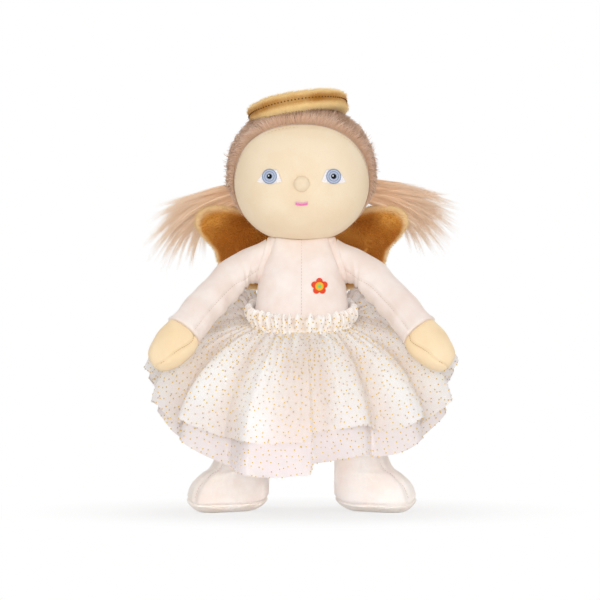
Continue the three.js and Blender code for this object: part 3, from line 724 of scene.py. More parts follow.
# runs a tree over a rough mesh and keeps the result as a plain mesh
def grown(name, treeName, mesh, values):
    tree = trees[treeName]
    rough = linkPiece(name + "Rough", mesh)
    modifier = rough.modifiers.new("grow", "NODES")
    modifier.node_group = tree
    for item in tree.interface.items_tree:
        if item.in_out == "INPUT" and item.name in values:
            modifier[item.identifier] = values[item.name]
    bpy.context.view_layer.update()
    done = bpy.data.meshes.new_from_object(rough.evaluated_get(bpy.context.evaluated_depsgraph_get()))
    bpy.data.objects.remove(rough)
    done.name = name
    return linkPiece(name, done)


def lineMesh(name, lines):
    edges, start = [], 0
    for line in lines:
        edges += [(start + k, start + k + 1) for k in range(len(line) - 1)]
        start += len(line)
    return newMesh(name, np.concatenate(lines), edges=edges)


def threads(name, lines, radius, finish, taper=0.0, around=6):
    values = {"Radius": radius * metre, "Taper": taper, "Sides": around, "Finish": finishes[finish]}
    return grown(name, "thread", lineMesh(name, lines), values)


# one shade for each thread of a piece, for its finish to read
def shadeThreads(piece, count, draw):
    mark(piece.data, {"shade": np.repeat(draw.uniform(0, 1, count), len(piece.data.vertices) // count)})


def stitches(name, lines, look):
    values = {label.capitalize(): look[label] * metre for label in ("pitch", "length", "radius")}
    return grown(name, "stitch", lineMesh(name, lines), {**values, "Finish": finishes[look["finish"]]})


# pile over rows of points: standing sets how upright it is, towards gives where it lies
def pile(name, rows, towards, look, wrap=True, marks=None):
    out = waysOut(rows, wrap)
    lay = unit(towards - (towards * out).sum(-1, keepdims=True) * out)
    standing = np.broadcast_to(look["standing"], rows.shape[:2])[..., None]
    mesh = newMesh(name, rows.reshape(-1, 3), faces=quads(*rows.shape[:2], wrap))
    markWays(mesh, "comb", unit(between(lay, out, standing)))
    markWays(mesh, "lay", lay)
    mark(mesh, {"long": np.ones(rows.shape[:2]), **(marks or {})})
    values = {label.capitalize(): look[label] for label in ("bend", "tousle", "steps", "seed")}
    values.update({label.capitalize(): look[label] * metre for label in ("length", "radius")})
    values.update({"Density": look["perSquareMm"] / metre**2, "Finish": finishes[look["finish"]]})
    return grown(name, "pile", mesh, values)


# a finished piece: the body it rides on and the solids it stands for
def settle(piece, body, replaced=()):
    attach(piece, body)
    if replaced:
        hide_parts(*replaced)
    return piece


# Stage: camera square to the front, soft light from above, a pale floor. Sizes in metres
stage = {
    "distance": 2.4, "frameWidth": 0.39, "lookHeight": 0.1372, "lookSide": -0.001,
    "sensor": 36, "farthest": 50,
    "floorSize": 8.0, "floorTone": (0.93, 0.925, 0.92, 1.0), "floorLift": 0.72, "floorFade": (0.07, 0.2),
    "skyTone": (1.0, 0.985, 0.97, 1.0), "skyStrength": 0.5, "paper": (1, 1, 1, 1),
    "lamps": (
        {"place": (-0.9, -1.5, 1.15), "aimHeight": 0.13, "size": 1.3, "power": 5.5, "spread": 180},
        {"place": (1.1, -1.4, 0.7), "aimHeight": 0.13, "size": 1.2, "power": 4.5, "spread": 180},
        {"place": (0.0, -1.8, 0.1), "aimHeight": 0.13, "size": 0.9, "power": 13.0, "spread": 180},
        {"place": (0.0, -1.4, 0.03), "aimHeight": 0.0, "size": 0.1, "power": 0.026, "spread": 9},
        {"place": (0.1, 0.9, 1.5), "aimHeight": 0.13, "size": 1.2, "power": 9.0, "spread": 180},
    ),
}


def setCamera():
    camera = bpy.data.cameras.new("camera")
    camera.sensor_width = stage["sensor"]
    camera.lens = stage["sensor"] * stage["distance"] / stage["frameWidth"]
    camera.clip_end = stage["farthest"]
    eye = linkPiece("camera", camera)
    eye.location = (stage["lookSide"], -stage["distance"], stage["lookHeight"])
    eye.rotation_euler = (math.pi / 2, 0, 0)
    bpy.context.scene.camera = eye
    bpy.context.scene.view_settings.view_transform = "Standard"


def setLamps():
    for k, look in enumerate(stage["lamps"]):
        lamp = bpy.data.lights.new(f"lamp{k}", "AREA")
        lamp.size, lamp.energy, lamp.spread = look["size"], look["power"], math.radians(look["spread"])
        spot = linkPiece(f"lamp{k}", lamp)
        spot.location = look["place"]
        x, y, z = -np.array(look["place"]) + np.array((0, 0, look["aimHeight"]))
        spot.rotation_euler = (math.atan2(math.hypot(x, y), -z), 0, math.atan2(y, x) - math.pi / 2)


# white where the camera sees it, and a soft sky for the light
def setSky():
    world = bpy.data.worlds.new("studio")
    bpy.context.scene.world = world
    world.use_nodes = True
    world.node_tree.nodes.clear()
    board = Board(world.node_tree)
    path = board.add("ShaderNodeLightPath", {}, {}, "Is Camera Ray")
    seen = path + path.beside("Is Glossy Ray") + path.beside("Is Transmission Ray")
    sky = board.add("ShaderNodeBackground", {}, {"Color": stage["skyTone"], "Strength": stage["skyStrength"]})
    paper = board.add("ShaderNodeBackground", {}, {"Color": stage["paper"], "Strength": 1.0})
    shown = board.add("ShaderNodeMixShader", {}, {0: board.fade(seen, 0, 1), 1: sky, 2: paper})
    board.add("ShaderNodeOutputWorld", {}, {"Surface": shown})


# a floor that turns to white away from the doll
def setFloor():
    material, board = newFinish("paperFloor")
    path = board.add("ShaderNodeLightPath", {}, {}, "Is Camera Ray")
    lit = board.add("ShaderNodeBsdfDiffuse", {}, {"Color": stage["floorTone"]})
    glow = board.add("ShaderNodeEmission", {}, {"Color": stage["paper"], "Strength": 1.0})
    away = board.add("ShaderNodeVectorMath", {"operation": "LENGTH"}, {0: board.ownPlace()}, "Value")
    white = stage["floorLift"] + (1 - stage["floorLift"]) * board.fade(away, *stage["floorFade"])
    board.surface(board.add("ShaderNodeMixShader", {}, {0: path * white, 1: lit, 2: glow}))
    half = stage["floorSize"] / 2
    corners = np.array([[(-half, -half, 0), (half, -half, 0)], [(-half, half, 0), (half, half, 0)]]) / metre
    loft("floor", corners, material, wrap=False)


setCamera()
setLamps()
setSky()
setFloor()
print("stage set")

# Head: the face panel inside its seam, and the backing of the fur behind it
head = {
    "centre": (0, -3, 218), "half": (45, 40, 43), "squareness": 2.2, "cloth": 1.2, "fill": 0.85,
    "seamTop": 49, "seamSide": 76, "seamChin": 100, "sidePower": 4,  # degrees from the nose
    "earLine": (0.05, 0.6), "grid": (128, 56), "uneven": (0.25, 34, 3),
    "seamDip": (0.9, 0, 1.8), "pucker": (0.12, 1.5, 1.2), "puckers": 70,
    "stitchIn": 3.3, "stitchDip": (0.3, 0, 0.8),
    "stitch": {"pitch": 2.4, "length": 1.7, "radius": 0.13, "finish": "faceThread"}, "stitchSunk": 0.2,
    "cordBehind": 0.004, "cordSunk": 0.75, "cordRadius": 0.4, "linePoints": 260,
    "backGrid": (120, 60), "backStart": 0.012, "backEnd": 0.985, "backUneven": (0.4, 25, 5),
    "backThick": 2.4, "backThinned": 1.8, "backRise": 0.07, "backSunk": 0.4,
}
headCentre, headHalf = np.array(head["centre"], float), np.array(head["half"], float)


def headPoint(angle, turn, outwards=0.0):
    way = stack(np.sin(angle) * np.sin(turn), -np.cos(angle), np.sin(angle) * np.cos(turn))
    reach = (np.abs(way / headHalf) ** head["squareness"]).sum(-1) ** (-1 / head["squareness"])
    return headCentre + way * (reach + outwards)[..., None]


def faceSeam(turn):
    swell = head["seamSide"] - (head["seamTop"] + head["seamChin"]) / 2
    down = (1 - np.cos(turn)) / 2
    degrees = between(head["seamTop"], head["seamChin"], down) + swell * np.sin(turn) ** head["sidePower"]
    return np.radians(degrees)


# how far below the ears a turn round the face lies
def underEars(turn):
    return ease(-np.cos(turn), *head["earLine"])


# a point on the front of the head by its place across and its height above the floor
def facePoint(across, height, lift=0.0):
    up, power = height - headCentre[2], head["squareness"]
    left = 1 - np.abs(across / headHalf[0]) ** power - np.abs(up / headHalf[2]) ** power
    ahead = headHalf[1] * np.maximum(left, 0) ** (1 / power)
    return stack(across, headCentre[1] - ahead - lift, height)


def makeHead():
    turn, share = grid(*head["grid"], 0.02, 1)
    angle = share * faceSeam(turn)
    inside = (faceSeam(turn) - angle) * headHalf[0]
    rows = headPoint(angle, turn)
    amount = uneven(rows, head["uneven"]) - ridge(inside, head["seamDip"])
    amount -= ridge(inside - head["stitchIn"], head["stitchDip"])
    amount += np.sin(turn * head["puckers"]) * ridge(inside, head["pucker"])
    front = shellLoft("face", raised(rows, amount), head["cloth"], finishes["face"])
    settle(front, "head", ["face_panel", "head_filling"])

    ring = np.linspace(0, tau, head["linePoints"])
    line = headPoint(faceSeam(ring) - head["stitchIn"] / headHalf[0], ring, -head["stitchSunk"])
    settle(stitches("faceTopstitch", [line], head["stitch"]), "head")
    line = headPoint(faceSeam(ring) + head["cordBehind"], ring, -head["cordSunk"])
    settle(threads("faceSeamCord", [line], head["cordRadius"], "seamThread"), "head")

    turn, share = grid(*head["backGrid"], 0, head["backEnd"])
    thick = head["backThick"] - head["backThinned"] * underEars(turn)
    thick = thick * ease(share, 0, head["backRise"]) - head["backSunk"]
    rows = headPoint(between(faceSeam(turn) + head["backStart"], math.pi, share), turn, thick)
    lumpy = raised(rows, uneven(rows, head["backUneven"]))
    back = shellLoft("hairBacking", lumpy, head["cloth"], finishes["hairCloth"])
    settle(back, "head", ["hair_cap"])
    return rows, turn


hairRows, hairTurns = makeHead()

# Hair: fine pile combed back from the face, with longer tufts through it
hair = {
    "pile": {
        "perSquareMm": 1.2, "length": 4.4, "radius": 0.19, "bend": 0.5, "tousle": 0.28, "standing": 0.45,
        "steps": 3, "seed": 11, "finish": "hairFur",
    },
    "tufts": {
        "perSquareMm": 0.8, "length": 9.5, "radius": 0.3, "bend": 0.55, "tousle": 0.2, "standing": 0.32,
        "steps": 4, "seed": 12, "finish": "hairFur",
    },
    "edge": {
        "strands": 2500, "length": (6, 12), "radius": 0.3, "taper": 0.9, "around": 3, "steps": 5, "seed": 14,
        "start": (-0.012, 0.05), "sway": 0.06, "rise": (2.2, 3.8), "risePower": 1.2, "base": 0.2,
        "lowerUnderEars": 0.6, "flatterUnderEars": 0.85,
    },
    "fields": 8, "seedStep": 10, "swirls": ((0.35, 60, 8), (0.3, 14, 9)),
    "streakRows": 7, "streakDepth": 0.75, "streakSpread": 0.45,
    "jawFade": (0.1, 0.4), "jawShorter": 0.55,
}


def makeHairline(draw):
    look = hair["edge"]
    around = draw.uniform(0, tau, look["strands"])
    v = np.linspace(0, 1, look["steps"])
    lines = []
    for turn in around:
        begin = float(faceSeam(np.array(turn))) + draw.uniform(*look["start"])
        low = float(underEars(np.array(turn)))
        reach = draw.uniform(*look["length"]) / headHalf[0]
        rise = (1 - look["flatterUnderEars"] * low) * draw.uniform(*look["rise"])
        lift = rise * np.sin(v * math.pi / 2) ** look["risePower"]
        lift = look["base"] - look["lowerUnderEars"] * low + lift
        lines.append(headPoint(begin + reach * v, turn + draw.normal(0, look["sway"]) * v, lift))
    edge = threads("hairline", lines, look["radius"], "hairFur", look["taper"], look["around"])
    shadeThreads(edge, len(lines), draw)
    settle(edge, "head")


# fields of pile side by side, with darker streaks, and short and flat beside the jaw
def makeHair():
    draw = np.random.default_rng(hair["edge"]["seed"])
    makeHairline(draw)
    swirl = sum(uneven(hairRows, shape)[..., None] for shape in hair["swirls"])
    towards = unit(np.gradient(hairRows, axis=0)) + swirl * unit(aroundStep(hairRows))
    streaks = draw.normal(size=hairRows.shape[:2])
    streaks = sum(np.roll(streaks, k, 0) for k in range(hair["streakRows"])) / math.sqrt(hair["streakRows"])
    streaks = hair["streakDepth"] * np.clip(0.5 + hair["streakSpread"] * streaks, 0, 1)
    behind = ease(np.linspace(0, 1, len(hairRows)), *hair["jawFade"])[:, None]
    flat = underEars(hairTurns) * (1 - behind)
    marks = {"deep": streaks, "long": 1 - hair["jawShorter"] * flat}
    width = hairRows.shape[1]
    for kind in ("pile", "tufts"):
        for field in range(hair["fields"]):
            first, last = (k * width // hair["fields"] for k in (field, field + 1))
            here = np.arange(first, last + 1) % width
            look = {**hair[kind], "seed": hair[kind]["seed"] + hair["seedStep"] * field}
            look["standing"] = look["standing"] * (1 - flat[:, here])
            own = {label: values[:, here] for label, values in marks.items()}
            name = f"hair{kind.capitalize()}{field}"
            settle(pile(name, hairRows[:, here], towards[:, here], look, False, own), "head")


makeHair()
print("head and hair made")

# Face: a stuffed nose, and eyes and mouth laid in thread. Each thread has its radius, its lift and its finish
face = {
    "noseHeight": 211.4, "noseRadius": 5.2, "noseDepth": 4.6, "noseBack": 1.2,
    "noseGrid": (26, 48), "noseFill": 0.9,
    "eyeSide": 20.5, "eyeHeight": 216.2, "eyeLow": -4.1, "eyeLowRise": 0.8,
    "whitePitch": 0.3, "edgeAbove": 0.15,
    "eyeLine": (
        (-7.8, -3.2), (-6.6, -1.2), (-4.9, 1.0), (-3, 3), (3, 4.3), (4.8, 3.8), (6.2, 0.8), (7.6, -3.2),
    ),
    "irisRings": (4.45, 3.75, 3.05, 2.35, 1.8), "pupilRings": (1.3, 0.75, 0.2), "ringPoints": 40,
    "glintAcross": (-0.8, -0.15), "glintHeights": (0.6, 0.2),
    "eyeThreads": {
        "eyeWhites": (0.3, 0.22, "eyeWhite"), "eyeEdges": (0.14, 0.3, "eyeEdge"),
        "irisDeepRings": (0.44, 0.55, "irisDeep"), "irisPaleRings": (0.44, 0.55, "irisPale"),
        "pupils": (0.4, 0.75, "pupil"), "eyeGlints": (0.36, 1.05, "glint"),
    },
    "mouthHeight": 198.3, "mouthHalf": 3.9, "mouthCurve": 0.7,
    "lipThreads": {"lipUpper": (0.44, 0.25, "lipPale"), "lipLower": (0.44, 0.3, "lipDeep")},
    "lipHeights": {"lipUpper": (0.85,), "lipLower": (0.15, -0.5)},
}


def makeNose():
    along, around = face["noseGrid"]
    bend, turn = np.meshgrid(np.linspace(0.04, math.pi - 0.1, along), turnsRound(around), indexing="ij")
    radius = face["noseRadius"] * np.sin(bend)
    height = np.where(bend < math.pi / 2, face["noseDepth"], face["noseBack"]) * np.cos(bend)
    base = facePoint(radius * np.cos(turn), face["noseHeight"] + radius * np.sin(turn))
    nose = loft("noseBump", base + np.array([0, -1, 0]) * height[..., None], finishes["face"])
    settle(nose, "head", ["nose"])


def makeEyes():
    lines = {name: [] for name in face["eyeThreads"]}
    ring = np.linspace(0, tau, face["ringPoints"])
    upper = np.array(face["eyeLine"])
    for _, side in sides:
        def lay(name, across, up):
            place = (side * face["eyeSide"] + np.asarray(across), face["eyeHeight"] + np.asarray(up))
            lines[name].append(facePoint(*place, face["eyeThreads"][name][1]))

        for x in np.arange(upper[0, 0] + 0.2, upper[-1, 0], face["whitePitch"]):
            top = np.interp(x, upper[:, 0], upper[:, 1])
            low = face["eyeLow"] + face["eyeLowRise"] * (x / upper[0, 0]) ** 4
            lay("eyeWhites", [-side * x] * 3, np.linspace(low, top, 3))
        lay("eyeEdges", -side * upper[:, 0], upper[:, 1] + face["edgeAbove"])
        for k, radius in enumerate(face["irisRings"]):
            lay("irisPaleRings" if k % 2 else "irisDeepRings", radius * np.cos(ring), radius * np.sin(ring))
        for radius in face["pupilRings"]:
            lay("pupils", radius * np.cos(ring), radius * np.sin(ring))
        for height in face["glintHeights"]:
            lay("eyeGlints", face["glintAcross"], [height, height])
    for name, (radius, _, finish) in face["eyeThreads"].items():
        settle(threads(name, lines[name], radius, finish), "head", ["left_eye", "right_eye"])


def makeMouth():
    across = np.linspace(-face["mouthHalf"], face["mouthHalf"], 15)
    smile = face["mouthHeight"] + face["mouthCurve"] * (across / face["mouthHalf"]) ** 2
    for name, (radius, lift, finish) in face["lipThreads"].items():
        lines = [facePoint(across, smile + step, lift) for step in face["lipHeights"][name]]
        settle(threads(name, lines, radius, finish), "head", ["mouth"])


makeNose()
makeEyes()
makeMouth()
print("face embroidered")

# Pigtails: locks that fan out from a root behind the ears, with fine hair over them
tail = {
    "root": (42.513, 30.016, 207.4), "rootRadius": 6.0, "rootDepth": 12, "rootWay": (-0.8, -0.57, 0.2),
    "length": 69, "lengths": (0.78, 1.0), "outerShorter": 0.9, "spread": 48, "sweep": 22, "sweepWander": 7,
    "droop": {"left": 21, "right": 31}, "bow": (0.5, 0.12, 0.08), "bowBend": (0.3, 0.5), "bowDroop": 0.6,
    "rootFan": 1.1, "rootWander": (0.4, 0.2), "fanWander": 0.03, "swell": (3.2, 1.2), "swellPower": 0.8,
    "locks": 50, "lockSteps": 9, "lockRadius": 1.5, "lockThin": 0.3, "hairs": 42, "hairRadius": 0.2,
    "hairReach": (0.7, 1.6), "hairWave": 0.3, "hairWaves": 5, "hairEnds": (-2.6, 1.3),
    "steps": 12, "taper": 0.95, "seed": 21,
}


def tailLocks(draw, droop):
    v = np.linspace(0, 1, tail["steps"])[:, None]
    ahead, behind, above = tail["bow"]
    behindBend, aboveBend = tail["bowBend"]
    backWander, upWander = tail["rootWander"]
    locks = []
    for k in range(tail["locks"]):
        share = (k + 0.5) / tail["locks"] - 0.5 + draw.normal(0, tail["fanWander"])
        drop = math.radians(droop + share * tail["spread"])
        back = math.radians(tail["sweep"] + draw.normal(0, tail["sweepWander"]))
        length = tail["length"] * draw.uniform(*tail["lengths"]) * (1 - tail["outerShorter"] * share**2)
        tip = length * np.array([math.cos(drop) * math.cos(back), math.sin(back), -math.sin(drop)])
        bowUp = above - aboveBend * math.sin(drop * tail["bowDroop"])
        bow = length * np.array([ahead, behind + behindBend * math.sin(back), bowUp])
        start = np.array([0, backWander * draw.normal(), -tail["rootFan"] * share + upWander * draw.normal()])
        start = tail["rootRadius"] * start + tail["rootDepth"] * np.array(tail["rootWay"])
        line = start * (1 - v) ** 2 + 2 * bow * v * (1 - v) + tip * v**2
        swell = np.array([0, *(size * draw.normal() for size in tail["swell"])])
        locks.append(line + swell * np.sin(math.pi * v ** tail["swellPower"]))
    return locks


def tailHairs(draw, locks):
    v = np.linspace(0, 1, tail["steps"])[:, None]
    wide = tail["lockRadius"] * (1 - tail["lockThin"] * v**1.5)
    hairs = []
    for lock in locks:
        for _ in range(tail["hairs"]):
            own = unit(draw.normal(size=3)) * draw.uniform(*tail["hairReach"])
            wave = np.sin(draw.uniform(0, tau) + tail["hairWaves"] * v) * draw.normal(0, 1, 3)
            line = lock + own * wide + tail["hairWave"] * v * wave
            hairs.append(line + (lock[-1] - lock[-2]) * v**3 * draw.uniform(*tail["hairEnds"]))
    return hairs


def makeTails():
    for name, side in sides:
        draw = np.random.default_rng(tail["seed"] + side)
        locks = tailLocks(draw, tail["droop"][name])
        hairs = tailHairs(draw, locks)
        cores = [lock[: tail["lockSteps"]] for lock in locks]
        kinds = (("Locks", cores, tail["lockRadius"], 8), ("Hairs", hairs, tail["hairRadius"], 3))
        for label, lines, radius, around in kinds:
            placed = [onSide(np.array(tail["root"]) + line, side) for line in lines]
            piece = threads(name + "Pigtail" + label, placed, radius, "tailFur", tail["taper"], around)
            shadeThreads(piece, len(lines), draw)
            settle(piece, name + "_tail_body", [name + "_pigtail"])


makeTails()

# Halo: a padded plush band with a sewn line round its outside
halo = {
    "place": (-2.4, -3, 260.8), "diameter": 66, "band": 11.4, "thickness": 11, "squareness": 2.5, "fill": 0.8,
    "tip": -9, "roll": -9, "around": 150, "section": 44, "uneven": (0.14, 14, 33),
    "groove": 1.2, "grooveWidth": 0.36, "puckers": 41, "pucker": 0.25,
    # darkness, darkUneven and darkWidth set the painted shade in the groove; rim and rimFade set the painted
    # highlight on the band's upper and lower edges
    "darkness": 0.72, "darkUneven": (0.16, 22, 34), "darkWidth": 0.55, "rim": 0.95, "rimFade": (0.35, 0.95),
    "stitch": {"pitch": 2.3, "length": 1.0, "radius": 0.5, "finish": "haloThread"},
    "stitchOut": 0.4, "stitchSway": 0.6, "pileShorter": 0.8, "pileShortWidth": 0.32, "pileDown": 0.8,
    "pile": {
        "perSquareMm": 1.3, "length": 2.0, "radius": 0.19, "bend": 0.35, "tousle": 0.6, "standing": 0.7,
        "steps": 2, "seed": 31, "finish": "haloPile",
    },
}


def haloPlaced(points):
    return points @ (aboutX(halo["tip"]) @ aboutY(halo["roll"])).T + np.array(halo["place"])


# rows with the first one again at the end
def closedUp(rows):
    return np.concatenate([rows, rows[:1]])


def makeHalo():
    middle = (halo["diameter"] - halo["thickness"]) / 2
    turn, section = np.meshgrid(turnsRound(halo["around"]), turnsRound(halo["section"]))
    away, up = squareRound(section + math.pi / 2, halo["thickness"] / 2, halo["band"] / 2, halo["squareness"])
    fromSeam = np.abs(wrapped(section))
    pucker = 1 + halo["pucker"] * np.sin(turn * halo["puckers"])
    away = away - halo["groove"] * pucker * hill(fromSeam, halo["grooveWidth"])
    rows = haloPlaced(stack((middle + away) * np.cos(turn), (middle + away) * np.sin(turn), -up))
    out = unit(rows - rows.mean(axis=0, keepdims=True))
    rows = rows + out * uneven(rows, halo["uneven"])[..., None]
    # painted shade, uneven, deep in the sewn groove, and a painted highlight on the band's upper and lower
    # edges
    dark = np.clip(halo["darkness"] + uneven(rows, halo["darkUneven"]), 0.2, 1)
    marks = {
        "deep": dark * hill(fromSeam, halo["darkWidth"]),
        "rim": halo["rim"] * ease(np.abs(up) / halo["band"] * 2, *halo["rimFade"]),
    }
    ring = loft("halo", rows, finishes["halo"], ring=True, marks=marks)
    settle(ring, "head", ["halo_cover", "halo_filling"])

    circle = np.linspace(0, tau, 200)
    reach = middle + halo["thickness"] / 2 - halo["groove"] + halo["stitchOut"]
    reach = reach + halo["stitchSway"] * np.abs(np.sin(circle))
    line = haloPlaced(stack(reach * np.cos(circle), reach * np.sin(circle), 0 * circle))
    settle(stitches("haloStitches", [line], halo["stitch"]), "head")

    lay = unit(closedUp(aroundStep(rows))) - np.array([0, 0, halo["pileDown"]])
    marks["long"] = 1 - halo["pileShorter"] * hill(fromSeam, halo["pileShortWidth"])
    marks = {label: closedUp(values) for label, values in marks.items()}
    # the pile takes the same painted shade in the groove and painted highlight on the edges
    settle(pile("haloPile", closedUp(rows), lay, halo["pile"], marks=marks), "head")


makeHalo()
print("pigtails and halo made")

seamStitch = {"pitch": 2.0, "length": 1.6, "radius": 0.14, "finish": "seamThread"}

# Torso: one padded form with its seams, cut back for the head, the legs and the arms
torso = {
    "profile": ((0, 84), (22.32, 87), (31, 104), (30, 132), (27, 162), (17.5, 185)), "flatness": 0.82,
    "neckThin": 0.2, "neckHeights": (158, 182), "squareness": 2.6, "grid": (144, 84), "fill": 0.85,
    "uneven": (0.45, 30, 41), "seamDip": (0.7, 0, 0.9), "seamRun": 0.8,
    "raglan": (17.5, 25.5), "raglanTop": 180, "raglanRun": 26, "raglanFrom": (150, 160),
    "raglanDip": (0.9, 0, 1.0), "raglanPad": (0.5, 4, 3),
    "crease": 0.55, "creaseSlant": (0.35, 0.55), "creaseAcross": (22, 7), "creaseHeight": (152, 10),
    "stitchHeights": (112, 176), "stitchSunk": 0.55,
    "shoulder": (25.5, 0, 162), "shoulderTilt": 16, "armhole": 14.6, "armGap": 0.15,
    "hipHeight": 96, "legRoom": 17.4, "headRoom": 3, "headGap": 0.2,
}
shoulder = np.array(torso["shoulder"], float)
shoulderTilt = math.radians(torso["shoulderTilt"])
shoulderOut = np.array([math.cos(shoulderTilt), 0, math.sin(shoulderTilt)])
shoulderUp = np.array([-math.sin(shoulderTilt), 0, math.cos(shoulderTilt)])


def torsoHalf(height):
    steps = splineThrough(torso["profile"], np.linspace(0, 1, 400), even=True)
    return np.interp(height, steps[:, 1], steps[:, 0])


def torsoDepth(height):
    return torso["flatness"] * (1 - torso["neckThin"] * ease(height, *torso["neckHeights"]))


def torsoFront(across, height, lift=0.0):
    half = torsoHalf(height)
    left = np.maximum(1 - np.abs(across / half) ** torso["squareness"], 0)
    return stack(across, -half * torsoDepth(height) * left ** (1 / torso["squareness"]) - lift, height)


def torsoRows():
    turn, share = grid(*torso["grid"], 0.02, 1)
    half, height = np.moveaxis(splineThrough(torso["profile"], share, even=True), -1, 0)
    x, y = squareRound(turn, half, half * torsoDepth(height), torso["squareness"])
    rows = stack(x, y, height)
    aside = np.abs(x)
    front = np.abs(wrapped(turn)) * half * torso["seamRun"]
    amount = uneven(rows, torso["uneven"]) - ridge(front, torso["seamDip"])
    sleeveLine = between(*torso["raglan"], ease(torso["raglanTop"] - height, 0, torso["raglanRun"]))
    raglan = np.abs(aside - sleeveLine)
    sewn = ridge(raglan, torso["raglanPad"]) - ridge(raglan, torso["raglanDip"])
    amount += sewn * ease(height, *torso["raglanFrom"])
    (out, wide), (up, tall) = torso["creaseAcross"], torso["creaseHeight"]
    waves = np.sin(height * torso["creaseSlant"][1] + aside * torso["creaseSlant"][0])
    amount += torso["crease"] * waves * hill(aside - out, wide) * hill(height - up, tall)
    return raised(rows, amount)


def underHead(rows):
    reach = np.hypot(rows[..., 0], rows[..., 1]) / (headHalf[0] + torso["headRoom"])
    lower = np.clip(1 - reach ** head["squareness"], 0, 1) ** (1 / head["squareness"])
    rows[..., 2] = np.minimum(rows[..., 2], headCentre[2] - headHalf[2] * lower - torso["headGap"])


# room for the round top of the legs, and a slope behind it for when they swing back
def overLegs(rows):
    sine, tangent = 0.866, 1.732  # of 60 degrees, where the slope starts
    back, radius = np.maximum(rows[..., 1], 0), torso["legRoom"]
    dome = np.sqrt(np.maximum(radius**2 - back**2, 0))
    slope = radius * 0.5 - (back - radius * sine) * tangent
    room = np.where(back < radius * sine, dome, slope)
    rows[..., 2] = np.maximum(rows[..., 2], torso["hipHeight"] + room)


def besideArm(rows, side):
    way = onSide(shoulderOut, side)
    fromArm = rows - onSide(shoulder, side)
    deep = fromArm @ way
    wide = np.linalg.norm(fromArm - deep[..., None] * way, axis=-1)
    cut = (deep > -torso["armGap"]) & (wide < torso["armhole"])
    return rows - np.where(cut, deep + torso["armGap"], 0)[..., None] * way


def makeTorso():
    rows = torsoRows()
    underHead(rows)
    overLegs(rows)
    for _, side in sides:
        rows = besideArm(rows, side)
    body = loft("torso", rows, finishes["body"])
    solids = ["torso_front_left", "torso_front_right", "torso_back", "torso_filling"]
    settle(body, "trunk", solids)

    heights = np.linspace(*torso["stitchHeights"], 60)
    line = torsoFront(0 * heights, heights, -torso["stitchSunk"])
    settle(stitches("frontSeam", [line], seamStitch), "trunk")


makeTorso()

# Flower: satin stitch on the chest.
# A ring has its finish, its two ends (none is the petal's edge), its lift, and takes one spoke in so many.
flower = {
    "side": 11.5, "height": 146, "radius": 5.4, "petals": 5, "notch": 0.62, "petalPower": 0.7,
    "spokes": 90, "thread": 0.24,
    "rings": {
        "flowerPetals": ("petal", 2.3, None, 0.3, 1),
        "flowerHeart": ("petalHeart", 1.1, 2.7, 0.5, 2),
        "flowerEye": ("flowerEye", 0.1, 1.25, 0.7, 5),
    },
}


def makeFlower():
    for name, (finish, low, high, lift, skip) in flower["rings"].items():
        lines = []
        for turn in np.linspace(0, tau, flower["spokes"], endpoint=False)[::skip]:
            petal = np.abs(np.cos(flower["petals"] * turn / 2)) ** flower["petalPower"]
            edge = flower["radius"] * (flower["notch"] + (1 - flower["notch"]) * petal)
            spoke = np.linspace(low, high or edge, 4)
            across, height = flower["side"] + spoke * np.sin(turn), flower["height"] + spoke * np.cos(turn)
            lines.append(torsoFront(across, height, lift))
        settle(threads(name, lines, flower["thread"], finish), "trunk", ["chest_embroidery"])


makeFlower()
print("torso made")

# Arms: places along an arm run from 0 at the shoulder to 1 at the fingertips
arm = {
    "points": ((0, 0, 0), (16, -6, -8), (32.5, -18, -24.5), (50, -35, -45), (68, -45, -68)),
    "wristAt": 0.75, "armholeRadius": 13.4, "wristRadius": 12.2, "handRadius": 13.0, "slim": 1.0,
    "handSwell": 0.4, "handPower": 3.2, "handFlatness": 0.76, "flatFrom": (0.4, 0.9), "turnIn": 0.4,
    "reach": 110, "cap": 2.4, "capTo": 0.3, "sleeveGrid": (72, 90), "sleeveUneven": (0.45, 22, 51),
    "sleeveFill": 0.8,
    "folds": (
        {"depth": 0.9, "waves": 62, "slant": 1.6, "turn": math.pi / 2, "at": 0.14, "width": 0.12},
        {"depth": 0.5, "waves": 55, "slant": 2.2, "turn": 1, "at": 0.42, "width": 0.16},
    ),
    "cuffPad": (0.7, 0, 2.2), "cuffDip": (1.6, 0, 0.5),
    "seamTurn": 3.55, "seamSway": 0.05, "seamWaves": 9, "seamDip": (0.8, 0, 0.9), "seamRadius": 13,
    "seamSunk": 0.045, "seamEnds": (0.05, 0.74), "seamStitch": {**seamStitch, "radius": 0.13},
    "collar": ((1.0, 13.0), (0.9, 14.0), (0.2, 14.5), (-1.5, 14.4), (-4, 13.6), (-7, 11.8), (-10, 9)),
    "collarAround": 96, "handGrid": (72, 60), "handUneven": (0.3, 18, 53), "handFill": 0.85, "handGap": 0.004,
    "thumbTurn": 4.45, "thumbAt": 0.82, "thumbSwell": 1.5, "thumbWide": 6, "thumbLong": 7, "thumbRadius": 11,
    "wristDip": (0.9, 0, 0.9), "handSeamDip": (0.9, 0, 0.9), "handSeamRadius": 12, "handSeamSunk": 0.55,
    "handSeam": (
        (0.738, 3.58), (0.76, 3.78), (0.783, 3.89), (0.82, 3.77),
        (0.85, 3.63), (0.883, 3.53), (0.945, 3.47), (1, 3.2),
    ),
    "handSeamEnds": (0.76, 0.97),
    "handStitch": {"pitch": 1.5, "length": 1.25, "radius": 0.2, "finish": "handThread"},
}


def armLine(t):
    return splineThrough(arm["points"], np.clip(t, 0, 1))


